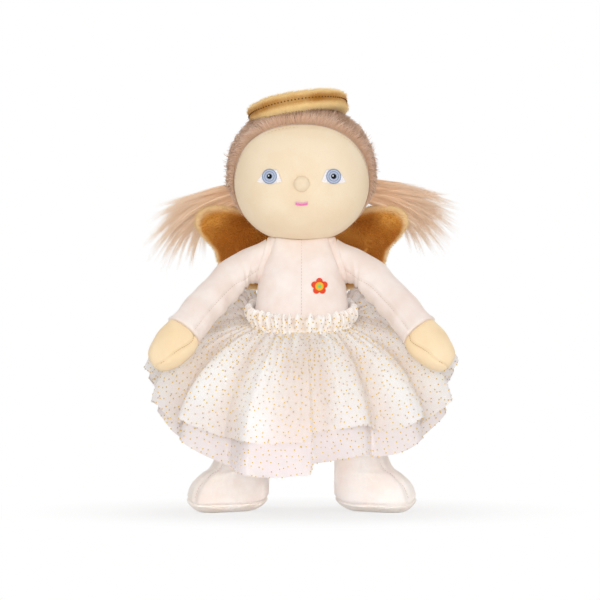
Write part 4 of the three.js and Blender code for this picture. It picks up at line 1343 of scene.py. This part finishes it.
def armRadius(t):
    upperShare = np.clip(t / arm["wristAt"], 0, 1)
    upper = between(arm["armholeRadius"], arm["wristRadius"], upperShare)
    upper = upper - arm["slim"] * np.sin(upperShare * math.pi)
    s = np.clip((t - arm["wristAt"]) / (1 - arm["wristAt"]), 0, 1)
    hand = between(arm["wristRadius"], arm["handRadius"], ease(s, 0, arm["handSwell"]))
    return np.where(t < arm["wristAt"], upper, hand * np.sqrt(np.maximum(0, 1 - s ** arm["handPower"])))


def armPoint(turn, t):
    step = 1e-3
    along = unit(armLine(t + step) - armLine(t - step))
    ahead = unit(between(shoulderOut, along, ease(t, 0, arm["turnIn"])[..., None]))
    side = unit(np.array([0, 1, 0]) - ahead * ahead[..., 1:2])
    up = np.cross(ahead, side)
    radius = armRadius(t)
    flat = between(1, arm["handFlatness"], ease(t, *arm["flatFrom"]))
    ring = side * (radius * flat * np.cos(turn))[..., None] + up * (radius * np.sin(turn))[..., None]
    return shoulder + armLine(t) + ring


def sleeveSeamTurn(t):
    return arm["seamTurn"] + arm["seamSway"] * np.sin(t * arm["seamWaves"])


# the hand's seam from the inside of the cuff round the thumb to the fingertips
def handSeamTurn(t):
    places, turns = np.array(arm["handSeam"]).T
    return np.interp(t, places, turns)


# the fullness over the top of the shoulder
def capSwell(turn):
    return arm["cap"] * np.maximum(np.sin(turn), 0) ** 2


def thumbSwell(turn, t):
    near = hill(apart(turn, arm["thumbTurn"]) * arm["thumbRadius"], arm["thumbWide"])
    return arm["thumbSwell"] * near * hill((t - arm["thumbAt"]) * arm["reach"], arm["thumbLong"])


def makeSleeve(name, side):
    turn, t = grid(*arm["sleeveGrid"], 0.0, arm["wristAt"])
    rows = armPoint(turn, t)
    low = 0.5 - 0.5 * np.sin(turn)
    amount = uneven(rows, arm["sleeveUneven"])
    for look in arm["folds"]:
        waves = np.sin(t * look["waves"] + look["slant"] * np.sin(turn + look["turn"]))
        amount += look["depth"] * waves * hill(t - look["at"], look["width"]) * low
    amount -= ridge(apart(turn, sleeveSeamTurn(t)) * arm["seamRadius"], arm["seamDip"])
    fromCuff = (arm["wristAt"] - t) * arm["reach"]
    amount += ridge(fromCuff, arm["cuffPad"]) - ridge(fromCuff, arm["cuffDip"])
    amount += capSwell(turn) * (1 - ease(t, 0, arm["capTo"]))
    sleeve = loft(name + "Sleeve", onSide(raised(rows, amount), side), finishes["body"])
    solids = [name + "_sleeve", name + "_arm_filling"]
    settle(sleeve, name + "_arm_body", solids)


def makeArmhole(name, side):
    deep, wide = np.array(arm["collar"], float).T[:, :, None]
    turn = turnsRound(arm["collarAround"])
    wide = wide + capSwell(turn)
    edge = shoulder + deep[..., None] * shoulderOut + (wide * np.sin(turn))[..., None] * shoulderUp
    edge[..., 1] += wide * np.cos(turn)
    settle(loft(name + "ArmholeSeam", onSide(edge, side), finishes["body"]), "trunk")


def makeSleeveSeam(name, side):
    t = np.linspace(*arm["seamEnds"], 70)
    line = between(armPoint(sleeveSeamTurn(t), t), shoulder + armLine(t), arm["seamSunk"])
    sewn = stitches(name + "SleeveSeam", [onSide(line, side)], arm["seamStitch"])
    settle(sewn, name + "_arm_body")


def makeHand(name, side):
    turn, s = grid(*arm["handGrid"], 0.0, 0.995)
    t = between(arm["wristAt"] + arm["handGap"], 1, np.sin(s * math.pi / 2))
    rows = armPoint(turn, t)
    amount = uneven(rows, arm["handUneven"]) + thumbSwell(turn, t)
    amount -= ridge(apart(turn, handSeamTurn(t)) * arm["handSeamRadius"], arm["handSeamDip"])
    amount -= ridge((t - arm["wristAt"]) * arm["reach"], arm["wristDip"])
    hand = loft(name + "Hand", onSide(raised(rows, amount), side), finishes["hand"])
    settle(hand, name + "_arm_body", [name + "_hand"])

    t = np.linspace(*arm["handSeamEnds"], 60)
    line = armPoint(handSeamTurn(t), t)
    swell = thumbSwell(handSeamTurn(t), t) - arm["handSeamSunk"]
    line = line + unit(line - shoulder - armLine(t)) * swell[:, None]
    sewn = stitches(name + "HandSeam", [onSide(line, side)], arm["handStitch"])
    settle(sewn, name + "_arm_body")


for name, side in sides:
    makeSleeve(name, side)
    makeArmhole(name, side)
    makeSleeveSeam(name, side)
    makeHand(name, side)
print("arms made")

# Legs: hip, ankle and a turned-out boot on a flat padded sole.
# Places along a leg run from 0 at the hip to 1 at the sole's seam.
leg = {
    "hip": (18, 0, 96), "ankle": (21, 0, -64), "hipRadius": 17, "ankleRadius": 16.6, "footRadius": 17.4,
    "hipTurns": (30, 60, 90), "ankleToe": 0.2, "ankleBlend": 0.2,
    "thigh": (0.5, 0.03, 0.3),  # share down, toe and level
    "foot": ((0.34, 0.6, 0.52), (0.66, 1, 0.84), (1, 1, 1)),  # share down, swell and toe
    "footExtension": 23, "toeTurnout": 52, "toeSpread": (-0.35, 0.75), "fill": 0.85,
    "grid": (84, 80), "uneven": (0.5, 24, 61), "reach": 110, "ankleAt": 0.56, "ankleDent": (0.5, 0, 12),
    "seamTurn": (0.3, 0.15), "seamRadius": 17, "seamFrom": (0.45, 0.6), "seamDip": (0.9, 0, 0.9),
    "seamPad": (0.6, 3, 2.5), "seamSunk": 0.75, "seamEnds": (0.55, 0.985),
    "footReach": 40, "soleSeamDip": (1.5, 0, 0.9),
    "soleGrid": (84, 26), "soleHeight": 10, "soleGap": 0.3, "soleEdge": 12, "soleInner": 4, "solePower": 0.85,
    "soleLip": (0.9, 0, 0.07), "soleFill": 0.9, "frontLower": 4.5, "frontLowerFrom": 0.72,
}
hip, ankle = np.array(leg["hip"], float), np.array(leg["ankle"], float)
toeAngle = math.radians(leg["toeTurnout"])
toeWay = np.array([math.sin(toeAngle), -math.cos(toeAngle), 0])
legWay = ankle / np.linalg.norm(ankle)


# middle, radius, share of the toe's reach and how level a section lies
def legSections():
    rows = []
    for turn in leg["hipTurns"]:
        a = math.radians(turn)
        rows.append([*(-legWay * leg["hipRadius"] * math.cos(a)), leg["hipRadius"] * math.sin(a), 0, 0])
    down, toe, level = leg["thigh"]
    rows.append([*(ankle * down), (leg["hipRadius"] + leg["ankleRadius"]) / 2, toe, level])
    rows.append([*ankle, leg["ankleRadius"], leg["ankleToe"], 1])
    for share, swell, toe in leg["foot"]:
        low = between(ankle[2], leg["soleHeight"] - hip[2], share)
        rows.append([ankle[0], ankle[1], low, between(leg["ankleRadius"], leg["footRadius"], swell), toe, 1])
    return np.array(rows)


def legPoint(turn, v, depth):
    section = splineThrough(legSections(), v, even=True)
    middle, radius = section[..., :3].copy(), section[..., 3]
    low, blend = middle[..., 2] / ankle[2], leg["ankleBlend"]
    bent = 1 - np.maximum(1 + blend - low, 0) ** 2 / (4 * blend)
    middle[..., 0] = ankle[0] * np.where(low < 1 - blend, low, bent)
    reach, level = section[..., 4] * leg["footExtension"], section[..., 5:6]
    down = unit(between(legWay, np.array([0, 0, -1.0]), np.clip(level, 0, 1)))
    side = unit(np.array([1.0, 0, 0]) - down * down[..., :1])
    ahead = np.cross(down, side)
    way = side * np.cos(turn)[..., None] + ahead * np.sin(turn)[..., None]
    toe = ease(way @ toeWay, *leg["toeSpread"]) * np.maximum(reach, 0)
    return hip + middle + way * (radius - depth)[..., None] + toeWay * toe[..., None]


# how far the sole's seam runs lower at the front
def frontLower(turn):
    return leg["frontLower"] * ease(np.sin(turn), 0.0, 0.9)


# the boot's seam, from the front of the leg over the toe
def bootSeamTurn(v):
    start, shift = leg["seamTurn"]
    return math.atan2(-toeWay[1], toeWay[0]) + start - shift * ease(v, 0.5, 1)


def makeBoot(name, side):
    turn, v = grid(*leg["grid"])
    turn = -turn
    rows = legPoint(turn, v, np.zeros_like(v))
    flank = np.cos(turn) * toeWay[0] + np.sin(turn) * toeWay[1]
    fromSeam = apart(turn, bootSeamTurn(v)) * leg["seamRadius"]
    sewn = ridge(fromSeam, leg["seamPad"]) - ridge(fromSeam, leg["seamDip"])
    amount = uneven(rows, leg["uneven"]) + sewn * ease(v, *leg["seamFrom"])
    amount -= ridge((v - leg["ankleAt"]) * leg["reach"], leg["ankleDent"]) * (0.5 + 0.5 * flank)
    amount -= ridge((1 - v) * leg["footReach"], leg["soleSeamDip"])
    rows = raised(rows, amount)
    rows[..., 2] -= frontLower(turn) * ease(v, leg["frontLowerFrom"], 1)
    boot = loft(name + "Leg", onSide(rows, side), finishes["boot"])
    settle(boot, name + "_leg_body", [name + "_leg", name + "_leg_filling"])

    v = np.linspace(*leg["seamEnds"], 60)
    line = legPoint(bootSeamTurn(v), v, np.full(len(v), leg["seamSunk"]))
    sewn = stitches(name + "BootSeam", [onSide(line, side)], seamStitch)
    settle(sewn, name + "_leg_body")


def makeSole(name, side):
    turn, v = grid(*leg["soleGrid"])
    turn = -turn
    bend = v * math.pi / 2
    edge = leg["soleEdge"] + leg["soleInner"] * ease(-np.cos(turn), 0.1, 0.9)
    inset = edge * (1 - np.sin(bend)) ** leg["solePower"] + ridge(1 - v, leg["soleLip"])
    rows = legPoint(turn, np.ones_like(v), inset)
    rows[..., 2] = (leg["soleHeight"] - leg["soleGap"] - frontLower(turn)) * (1 - np.cos(bend))
    sole = loft(name + "Sole", onSide(rows, side), finishes["boot"])
    settle(sole, name + "_leg_body", [name + "_sole"])


for name, side in sides:
    makeBoot(name, side)
    makeSole(name, side)
print("legs made")

# Wings: plush pillows sewn to the back by their inner edge
wing = {
    "place": (8.5, 23.877, 162), "lean": 6, "thickness": 12, "standoff": 9.5, "root": 12, "edge": 0.5,
    "outline": (
        (0.6, -14), (0.6, 10), (14, 23.5), (31, 34.5), (50, 36.5), (59, 32.5), (61.5, 25),
        (56.5, 16), (49.5, 8), (46, -3), (43, -11), (34, -16.5), (21, -19), (8, -18),
    ),
    "around": 150, "rows": 26, "rowPower": 0.8, "middlePoints": 26,
    "roundness": 0.6, "rootRun": 3, "fill": 0.75,
    "uneven": (0.45, 20, 73), "rimDip": (0.8, 0, 2.0), "rimReach": 25,
    "cloud": 0.45, "cloudUneven": (0.5, 26, 74), "deep": 0.75, "deepFade": (0.7, 0.9),
    # rim and rimFade set a painted highlight along the wing's edge
    "rim": 0.9, "rimFade": (0.8, 0.98), "pileOut": 0.6, "pileWay": (0.25, 0, -0.55),
    "pile": {
        "perSquareMm": 1.3, "length": 1.9, "radius": 0.19, "bend": 0.4, "tousle": 0.45, "standing": 0.55,
        "steps": 2, "seed": 71, "finish": "wingPile",
    },
}


def wingPoint(u, share, front):
    outline = np.array([(across, 0, up) for across, up in wing["outline"]], float)
    rim = splineThrough(outline, u, closed=True)
    places = np.arange(wing["middlePoints"]) / wing["middlePoints"]
    middle = splineThrough(outline, places, closed=True).mean(0)
    swell = np.maximum(1 - share**2, 0) ** wing["roundness"]
    half = wing["edge"] + (wing["thickness"] / 2 - wing["edge"]) * swell
    bend = (1 - ease(rim[..., 0], 1, wing["root"])) * np.maximum(0, 1 - (1 - share) * wing["rootRun"])
    points = between(middle, rim, share[..., None])
    points[..., 1] = wing["standoff"] * (1 - bend) + front * half
    return points @ aboutX(wing["lean"]).T + np.array(wing["place"])


def makeWings():
    shares = np.linspace(0.03, 1, wing["rows"]) ** wing["rowPower"]
    u, share = np.meshgrid(np.arange(wing["around"]) / wing["around"], shares)
    rows = np.concatenate([wingPoint(u, share, -1), wingPoint(u, share, 1)[::-1]])
    out = unit(rows - np.concatenate([wingPoint(u, share * 0, 0.0)] * 2))
    share = np.concatenate([share, share[::-1]])
    front = np.repeat([-1.0, 1.0], wing["rows"])[:, None]
    rows[..., 1] += front * uneven(rows, wing["uneven"]) * (1 - share**2)
    rows[..., 1] -= front * ridge((1 - share) * wing["rimReach"], wing["rimDip"]) * (1 - share)
    cloudy = np.clip(wing["cloud"] + uneven(rows * np.array([1, 0, 1]), wing["cloudUneven"]), 0, 1)
    # deep lays darker clouds at random away from the edge; rim is a painted highlight along the edge
    marks = {
        "deep": wing["deep"] * cloudy * (1 - ease(share, *wing["deepFade"])),
        "rim": wing["rim"] * ease(share, *wing["rimFade"]),
    }
    lay = out * np.array([wing["pileOut"], 0, wing["pileOut"]]) + np.array(wing["pileWay"])
    for name, side in sides:
        placed = onSide(rows, side)
        pillow = loft(name + "Wing", placed, finishes["wing"], marks=marks)
        solids = [f"{name}_wing_{part}" for part in ("front", "back", "filling")]
        settle(pillow, name + "_wing_body", solids)
        # the pile takes the same painted highlight along the edge
        fluff = pile(name + "WingPile", placed, onSide(lay, side), wing["pile"], marks=marks)
        settle(fluff, name + "_wing_body")


makeWings()
print("wings made")

# Waistband: a gathered net casing over elastic
band = {
    "inside": 31.35, "insideDepth": 25.77, "height": 10.5, "middle": 128.5, "tilt": 7, "squareness": 2.6,
    "gathers": 40, "gatherDepth": 1.9, "gatherWander": ((2.6, 3, 0), (1.6, 7, 1), (0.8, 13, 2)),
    "gatherVaries": (0.25, 9, 2), "fineGathers": 1.6, "fineDepth": 0.35, "fineWander": (3, 5, 0.25),
    "inner": 0.5, "outer": 2.9, "ruffle": 1.5, "ruffleFrom": 0.6, "ruffleShares": (0.6, 0.5), "around": 720,
    # deep, deepShares and deepPower set the painted shade in the creases between the gathers
    "deep": 0.7, "deepShares": (0.35, 0.15), "deepPower": 1.5,
    "flat": (0.22, 0.026), "dotRow": 14, "dotGap": 3.4, "dotSeed": 91, "dotLift": 0.1,
    "elasticOut": (1.25, 2.25), "elasticUp": (1.3, 8.3), "elasticAround": 240, "ribs": 60, "rib": 0.12,
}


def bandPoint(turn, outwards, above):
    x, y = squareRound(turn, band["inside"] + outwards, band["insideDepth"] + outwards, band["squareness"])
    return stack(x, y, band["middle"] - band["tilt"] * np.cos(turn) - band["height"] / 2 + above)


# an open sheet over rows, with normals of its own and flat coordinates in metres
def clothPanel(name, rows, normals, flat, finish, marks):
    faces = quads(*rows.shape[:2], wrap=False)
    outwards = np.cross(rows[0, 1] - rows[0, 0], rows[1, 0] - rows[0, 0])
    if outwards @ normals[0, 0] < 0:
        faces = [corners[::-1] for corners in faces]
    mesh = newMesh(name, rows.reshape(-1, 3), faces=faces)
    mesh.shade_smooth()
    corner = np.empty(len(mesh.loops), np.int32)
    mesh.loops.foreach_get("vertex_index", corner)
    layer = mesh.uv_layers.new(name="UVMap")
    layer.data.foreach_set("uv", flat.reshape(-1, 2)[corner].astype(np.float32).ravel())
    mesh.normals_split_custom_set_from_vertices(normals.reshape(-1, 3).tolist())
    mesh.materials.append(finish)
    mark(mesh, marks)
    return linkPiece(name, mesh)


# Gold dots on the net, scattered from even rows and each set along its way out
dot = {"radius": 0.56, "thickness": 0.34, "wander": (0.36, 0.34), "rowGap": 0.85, "gatherPower": 0.4}


def dots(name, points, out):
    mesh = newMesh(name, points)
    markWays(mesh, "out", out)
    values = {label.capitalize(): dot[label] * metre for label in ("radius", "thickness")}
    return grown(name, "dot", mesh, {**values, "Finish": finishes["glitter"]})


# scattered spots over rows of points, a little closer together where the cloth is gathered
def spots(rows, normals, gap, seed):
    draw = np.random.default_rng(seed)
    across, upright = dot["wander"]
    longest = np.linalg.norm(np.diff(rows, axis=1), axis=-1).sum(1).max()
    below = np.concatenate([[0], np.cumsum(stepsAlong(rows).mean(1))])
    rowNumbers = np.arange(len(below))
    places = []
    for row, level in enumerate(np.arange(0.5 * gap, below[-1], dot["rowGap"] * gap)):
        k = int(np.clip(round(np.interp(level, below, rowNumbers)), 0, len(below) - 1))
        run = runAlong(rows[k])
        pitch = gap * (run[-1] / longest) ** dot["gatherPower"]
        stops = np.arange((row % 2) * 0.5 * pitch, run[-1], pitch)
        stops = np.clip(stops + draw.uniform(-across, across, len(stops)) * pitch, 0, run[-1] - 1e-6)
        levels = np.clip(level + draw.uniform(-upright, upright, len(stops)) * gap, 0, below[-1])
        column = np.interp(stops, run, np.arange(len(run)))
        places.append(np.stack([np.interp(levels, below, rowNumbers), column], -1))
    down, column = np.concatenate(places).T
    j, i = (np.minimum(part.astype(int), size - 2) for part, size in zip((down, column), rows.shape))
    v, u = (down - j)[:, None], (column - i)[:, None]
    found, ways = (
        between(between(part[j, i], part[j, i + 1], u), between(part[j + 1, i], part[j + 1, i + 1], u), v)
        for part in (rows, normals)
    )
    return found, unit(ways), column


def gathers(turn):
    wander = sum(size * np.sin(waves * turn + start) for size, waves, start in band["gatherWander"])
    return np.cos(band["gathers"] * turn + wander)


# columns with the first one again at the end
def closedRound(rows):
    return np.concatenate([rows, rows[:, :1]], 1)


# up the inside of the casing, over its top and down its outside
def bandSection():
    top, inner, outer = band["height"], band["inner"], band["outer"]
    return np.array((
        (inner, 0.2), (inner, 0.5 * top), (inner, top - 1), (between(inner, outer, 0.5), top + 0.3),
        (outer, top - 1), (outer + 0.9, 0.72 * top), (outer + 0.7, 0.4 * top),
        (outer - 0.8, 0.6), (outer - 0.2, -1.2),
    ))


def makeBand():
    section = splineThrough(bandSection(), np.linspace(0, 1, 30))
    turn = np.linspace(0, tau, band["around"] + 1)[None, :]
    out, up = section[:, :1], section[:, 1:]
    wide = ease(out, band["inner"], band["outer"])
    amount, waves, start = band["gatherVaries"]
    gather = gathers(turn) * (1 - amount + amount * np.sin(waves * turn + start))
    amount, waves, slant = band["fineWander"]
    fineCount = round(band["fineGathers"] * band["gathers"])
    fine = np.cos(fineCount * turn + amount * np.sin(waves * turn + up * slant))
    ripple = wide * (band["gatherDepth"] * 0.5 * (1 + gather) + band["fineDepth"] * fine)
    large, little = band["ruffleShares"]
    ruffle = band["ruffle"] * ease(up, band["ruffleFrom"] * band["height"], band["height"])
    ruffle = ruffle * (large * gather + little * fine)
    rows = bandPoint(turn + 0 * out, out + ripple, up + ruffle)
    rows[:, -1] = rows[:, 0]
    normals = closedRound(waysOut(rows[:, :-1]))
    length = band["flat"][0]
    flat = np.stack(np.broadcast_arrays(turn / tau * length, runAlong(section)[:, None] * metre), -1)
    # painted shade in the creases between the gathers
    large, little = band["deepShares"]
    crease = {"deep": band["deep"] * wide * (0.5 - large * gather - little * fine) ** band["deepPower"]}
    casing = clothPanel("waistCasing", rows, normals, flat, finishes["bandNet"], crease)
    settle(casing, "trunk", ["waistband"])
    outside = slice(band["dotRow"], None)
    points, ways, _ = spots(rows[outside], normals[outside], band["dotGap"], band["dotSeed"])
    gold = settle(dots("waistDots", points + ways * band["dotLift"], ways), "trunk")


def makeElastic():
    low, high = band["elasticUp"]
    near, far = band["elasticOut"]
    middle = (low + high) / 2
    section = np.array([(near, low), (near, middle), (near, high), (far, high), (far, middle), (far, low)])
    out, up = section[:, :1], section[:, 1:]
    turn = turnsRound(band["elasticAround"])[None, :]
    rows = bandPoint(turn + 0 * out, out + band["rib"] * np.cos(band["ribs"] * turn), up)
    elastic = loft("waistElastic", rows, finishes["elastic"], ring=True)
    settle(elastic, "trunk", ["waist_elastic"])


makeBand()
makeElastic()

# Skirt: two layers of dotted net in gores. Turns are radians from the front, and shares run from band to hem
skirt = {
    "half": (103, 73), "squareness": 2.6, "dropFront": 98, "dropSide": 57, "sidePower": 2.8, "sideLift": 11,
    "bulge": (9, 16), "folds": 12, "foldDepth": 8.5, "wander": 0.7, "foldPower": 1.1, "foldRound": 0.75,
    "smallFolds": 25, "smallDepth": 2.4, "smallWander": (2.2, 3, 1.1), "smallPower": 0.6, "smallFade": 0.7,
    "gatherDepth": 1.5, "gatherFade": 5,
    "puff": 21, "puffTurn": 2.25, "puffWide": 0.5, "puffAt": 0.11, "puffLong": 0.16, "puffStart": 0.06,
    "corner": (9, 14), "cornerTurn": 1.83, "cornerWide": 0.25,
    "sag": 12, "sagTurn": 1.3, "sagWide": 0.2, "sagIn": (0.08, 0, 0.25),
    "pleat": 0.03, "pleatWide": 0.75, "pleatEdge": 0.014, "pleatDepth": 5.0, "pleatPower": 0.7,
    "pleatFade": 0.5, "pleatDrop": 7,
    "pleatRise": (1, 0.25, 0.25), "pleatShade": (0.5, 0.07, 0.06),
    # each layer's rim is how much painted shade its hem takes
    "under": {"hung": 1.9, "gap": 0.0, "front": 1.0, "side": 1.0, "rim": 0.95, "seed": 93},
    "outer": {"hung": 3.0, "gap": 5.0, "front": 0.8, "side": 0.93, "rim": 0.3, "seed": 94},
    # deep, valleyPower, valleyFrom and gatherShadeFade set the painted shade in folds and gathers; rimFade
    # sets where the painted shade towards the hem begins
    "deep": 0.55, "valleyPower": 1.3, "valleyFrom": (0.02, 0.3), "gatherShadeFade": 6,
    "rimFade": (0.55, 0.85), "rows": 44, "degrees": 0.7, "edges": (0, 14, 46, 92),
    "dotGap": 4.5, "dotLift": 0.15, "bendRate": 0.01625, "bendStart": 0.486,
}


# 1 at the doll's sides and 0 at its front and back
def sideShare(turn):
    return np.abs(np.sin(turn)) ** skirt["sidePower"]


# how far below the band's middle the hem hangs
def hemDrop(turn, fold, pleat):
    front, side = wrapped(turn), sideShare(turn)
    drop = between(skirt["dropFront"], skirt["dropSide"], side) - skirt["sideLift"] * fold * side
    drop = drop + skirt["pleatDrop"] * (pleat - ridge(front - skirt["pleat"], skirt["pleatRise"]))
    drop = drop + skirt["sag"] * hill(np.abs(front) - skirt["sagTurn"], skirt["sagWide"])
    corner = np.where(front < 0, *skirt["corner"])
    return drop - corner * hill(np.abs(front) - skirt["cornerTurn"], skirt["cornerWide"])


# the cloth from the band (share 0) to the hem (share 1), by its turn round the doll, and the painted shade of
# its folds and gathers
def skirtPoint(turn, share, hung):
    front = wrapped(turn)
    fold = np.cos(skirt["folds"] * turn + math.pi + skirt["wander"] * np.sin(2 * turn))
    start = skirt["pleat"]
    pleat = ease(front, start - skirt["pleatWide"], start)
    pleat = pleat * (1 - ease(front, start, start + skirt["pleatEdge"]))
    x, y = squareRound(turn, *skirt["half"], skirt["squareness"])
    x = x * (1 - ridge(np.abs(front) - skirt["sagTurn"], skirt["sagIn"]))
    hem = stack(x, y, band["middle"] - hemDrop(turn, fold, pleat))
    out = unit(stack(np.sin(turn), -np.cos(turn), 0.5))
    bulge = between(*skirt["bulge"], sideShare(turn)) * 4 * share * (1 - share)
    line = between(bandPoint(turn, hung, 0.2), hem, share[..., None]) + out * bulge[..., None]
    puff = skirt["puff"] * hill(np.abs(front) - skirt["puffTurn"], skirt["puffWide"])
    puff = puff * hill(share - skirt["puffAt"], skirt["puffLong"])
    line[..., 2] += puff * ease(share, 0, skirt["puffStart"])
    amount, waves, begin = skirt["smallWander"]
    small = np.cos(skirt["smallFolds"] * turn + amount * np.sin(waves * turn) + begin)
    crest = 2 * ((1 + fold) / 2) ** skirt["foldRound"] - 2
    away = skirt["foldDepth"] * share ** skirt["foldPower"] * crest
    small = small * share ** skirt["smallPower"] * (1 - skirt["smallFade"] * share)
    away = away + skirt["smallDepth"] * small
    away = away + skirt["gatherDepth"] * gathers(turn) * np.exp(-share * skirt["gatherFade"])
    pleat = pleat * share ** skirt["pleatPower"] * (1 - skirt["pleatFade"] * share)
    away = away + skirt["pleatDepth"] * pleat
    level = unit(line * np.array([1, 1, 0]))
    # painted shade in the fold valleys, in the gathers under the band and beside the pleat
    valley = (0.5 - 0.5 * fold) ** skirt["valleyPower"] * ease(share, *skirt["valleyFrom"])
    valley = valley + np.exp(-share * skirt["gatherShadeFade"]) * (0.5 - 0.5 * gathers(turn))
    valley = valley + ridge(front - start, skirt["pleatShade"])
    return line + level * away[..., None], np.clip(valley, 0, 1)


# columns stand at true angles round the doll, so that panels meet on planes through its middle
def skirtRows(angles, look):
    v = np.linspace(0, 1, skirt["rows"] + 1)[:, None] + 0 * angles[None, :]
    turns = np.linspace(-math.pi, math.pi, 1441)
    x, y = squareRound(turns, *skirt["half"], skirt["squareness"])
    turn = np.interp(wrapped(angles), np.unwrap(np.arctan2(x, -y)), turns)[None, :] + 0 * v
    share = v * between(look["front"], look["side"], np.sin(turn) ** 2)
    rows, valley = skirtPoint(turn, share, look["hung"])
    rows = raised(rows, look["gap"] * np.sqrt(v))
    reach = np.hypot(rows[..., 0], rows[..., 1])
    # deep and rim carry the painted shade of the folds and of the hem
    marks = {"deep": skirt["deep"] * valley, "rim": look["rim"] * ease(share, *skirt["rimFade"])}
    return stack(reach * np.sin(angles), -reach * np.cos(angles), rows[..., 2]), marks


# how a panel between two angles bends between the trunk and its leg
def panelBend(low, high, side):
    rate, start = skirt["bendRate"] / metre, skirt["bendStart"]
    if low == skirt["edges"][0]:
        slope = np.array([rate / math.sin(math.radians(high)), 0, 0])
    elif low == skirt["edges"][1]:
        middle, half = math.radians((low + high) / 2), math.radians((high - low) / 2)
        slope = rate / math.cos(half) * np.array([math.sin(middle), -math.cos(middle), 0])
    else:
        last, wide = math.radians(high), math.radians(high - low)
        slope = rate / math.sin(wide) * np.array([-math.cos(last), -math.sin(last), 0])
    slope = onSide(slope, side)
    begin = slope * start / (slope @ slope)
    return begin, begin + slope / (slope @ slope)


# a net panel or its dots: on the trunk at the back; at the front its bend with the leg is worked out but not
# used, and the piece is left unattached where it stands
def hangPanel(piece, low, high, part):
    if part == "back":
        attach(piece, "trunk")
    else:
        side = 1 if part == "left" else -1
        span = (low, high) if side > 0 else (360 - high, 360 - low)
        part + "_leg_body"
        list(panelBend(*span, side))
        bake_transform(piece)


def makeLayer(layer, cuts, angles, starts):
    look = skirt[layer]
    rows, marks = skirtRows(angles, look)
    rows, normals = closedRound(rows), closedRound(waysOut(rows))
    marks = {label: closedRound(values) for label, values in marks.items()}
    below = np.linalg.norm(np.diff(rows, axis=0), axis=-1).cumsum(0)
    below = np.concatenate([0 * below[:1], below])
    flat = np.stack(np.broadcast_arrays(runAlong(rows[-1])[None, :], below), -1) * metre
    points, ways, columns = spots(rows, normals, skirt["dotGap"], look["seed"])
    for k, (low, high, part) in enumerate(cuts):
        first, last = starts[k], starts[k + 1]
        own = slice(first, last + 1)
        name = f"{layer}Net{part.capitalize()}{k if part != 'back' else ''}"
        shades = {label: values[:, own] for label, values in marks.items()}
        net = clothPanel(name, rows[:, own], normals[:, own], flat[:, own], finishes["net"], shades)
        here = (columns >= first) & (columns < last)
        gold = dots(name + "Dots", points[here] + ways[here] * skirt["dotLift"], ways[here])
        for piece in (net, gold):
            hangPanel(piece, low, high, part)
        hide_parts("skirt_under_layer" if layer == "under" else "skirt_outer_layer")


def makeSkirt():
    pairs = list(zip(skirt["edges"], skirt["edges"][1:]))
    last = skirt["edges"][-1]
    cuts = [(low, high, "left") for low, high in pairs] + [(last, 360 - last, "back")]
    cuts += [(360 - high, 360 - low, "right") for low, high in pairs[::-1]]
    angles, starts = [], [0]
    for low, high, _ in cuts:
        columns = round((high - low) / skirt["degrees"])
        angles += list(np.radians(np.linspace(low, high, columns, endpoint=False)))
        starts.append(len(angles))
    for layer in ("under", "outer"):
        makeLayer(layer, cuts, np.array(angles), starts)


makeSkirt()
print("skirt made")
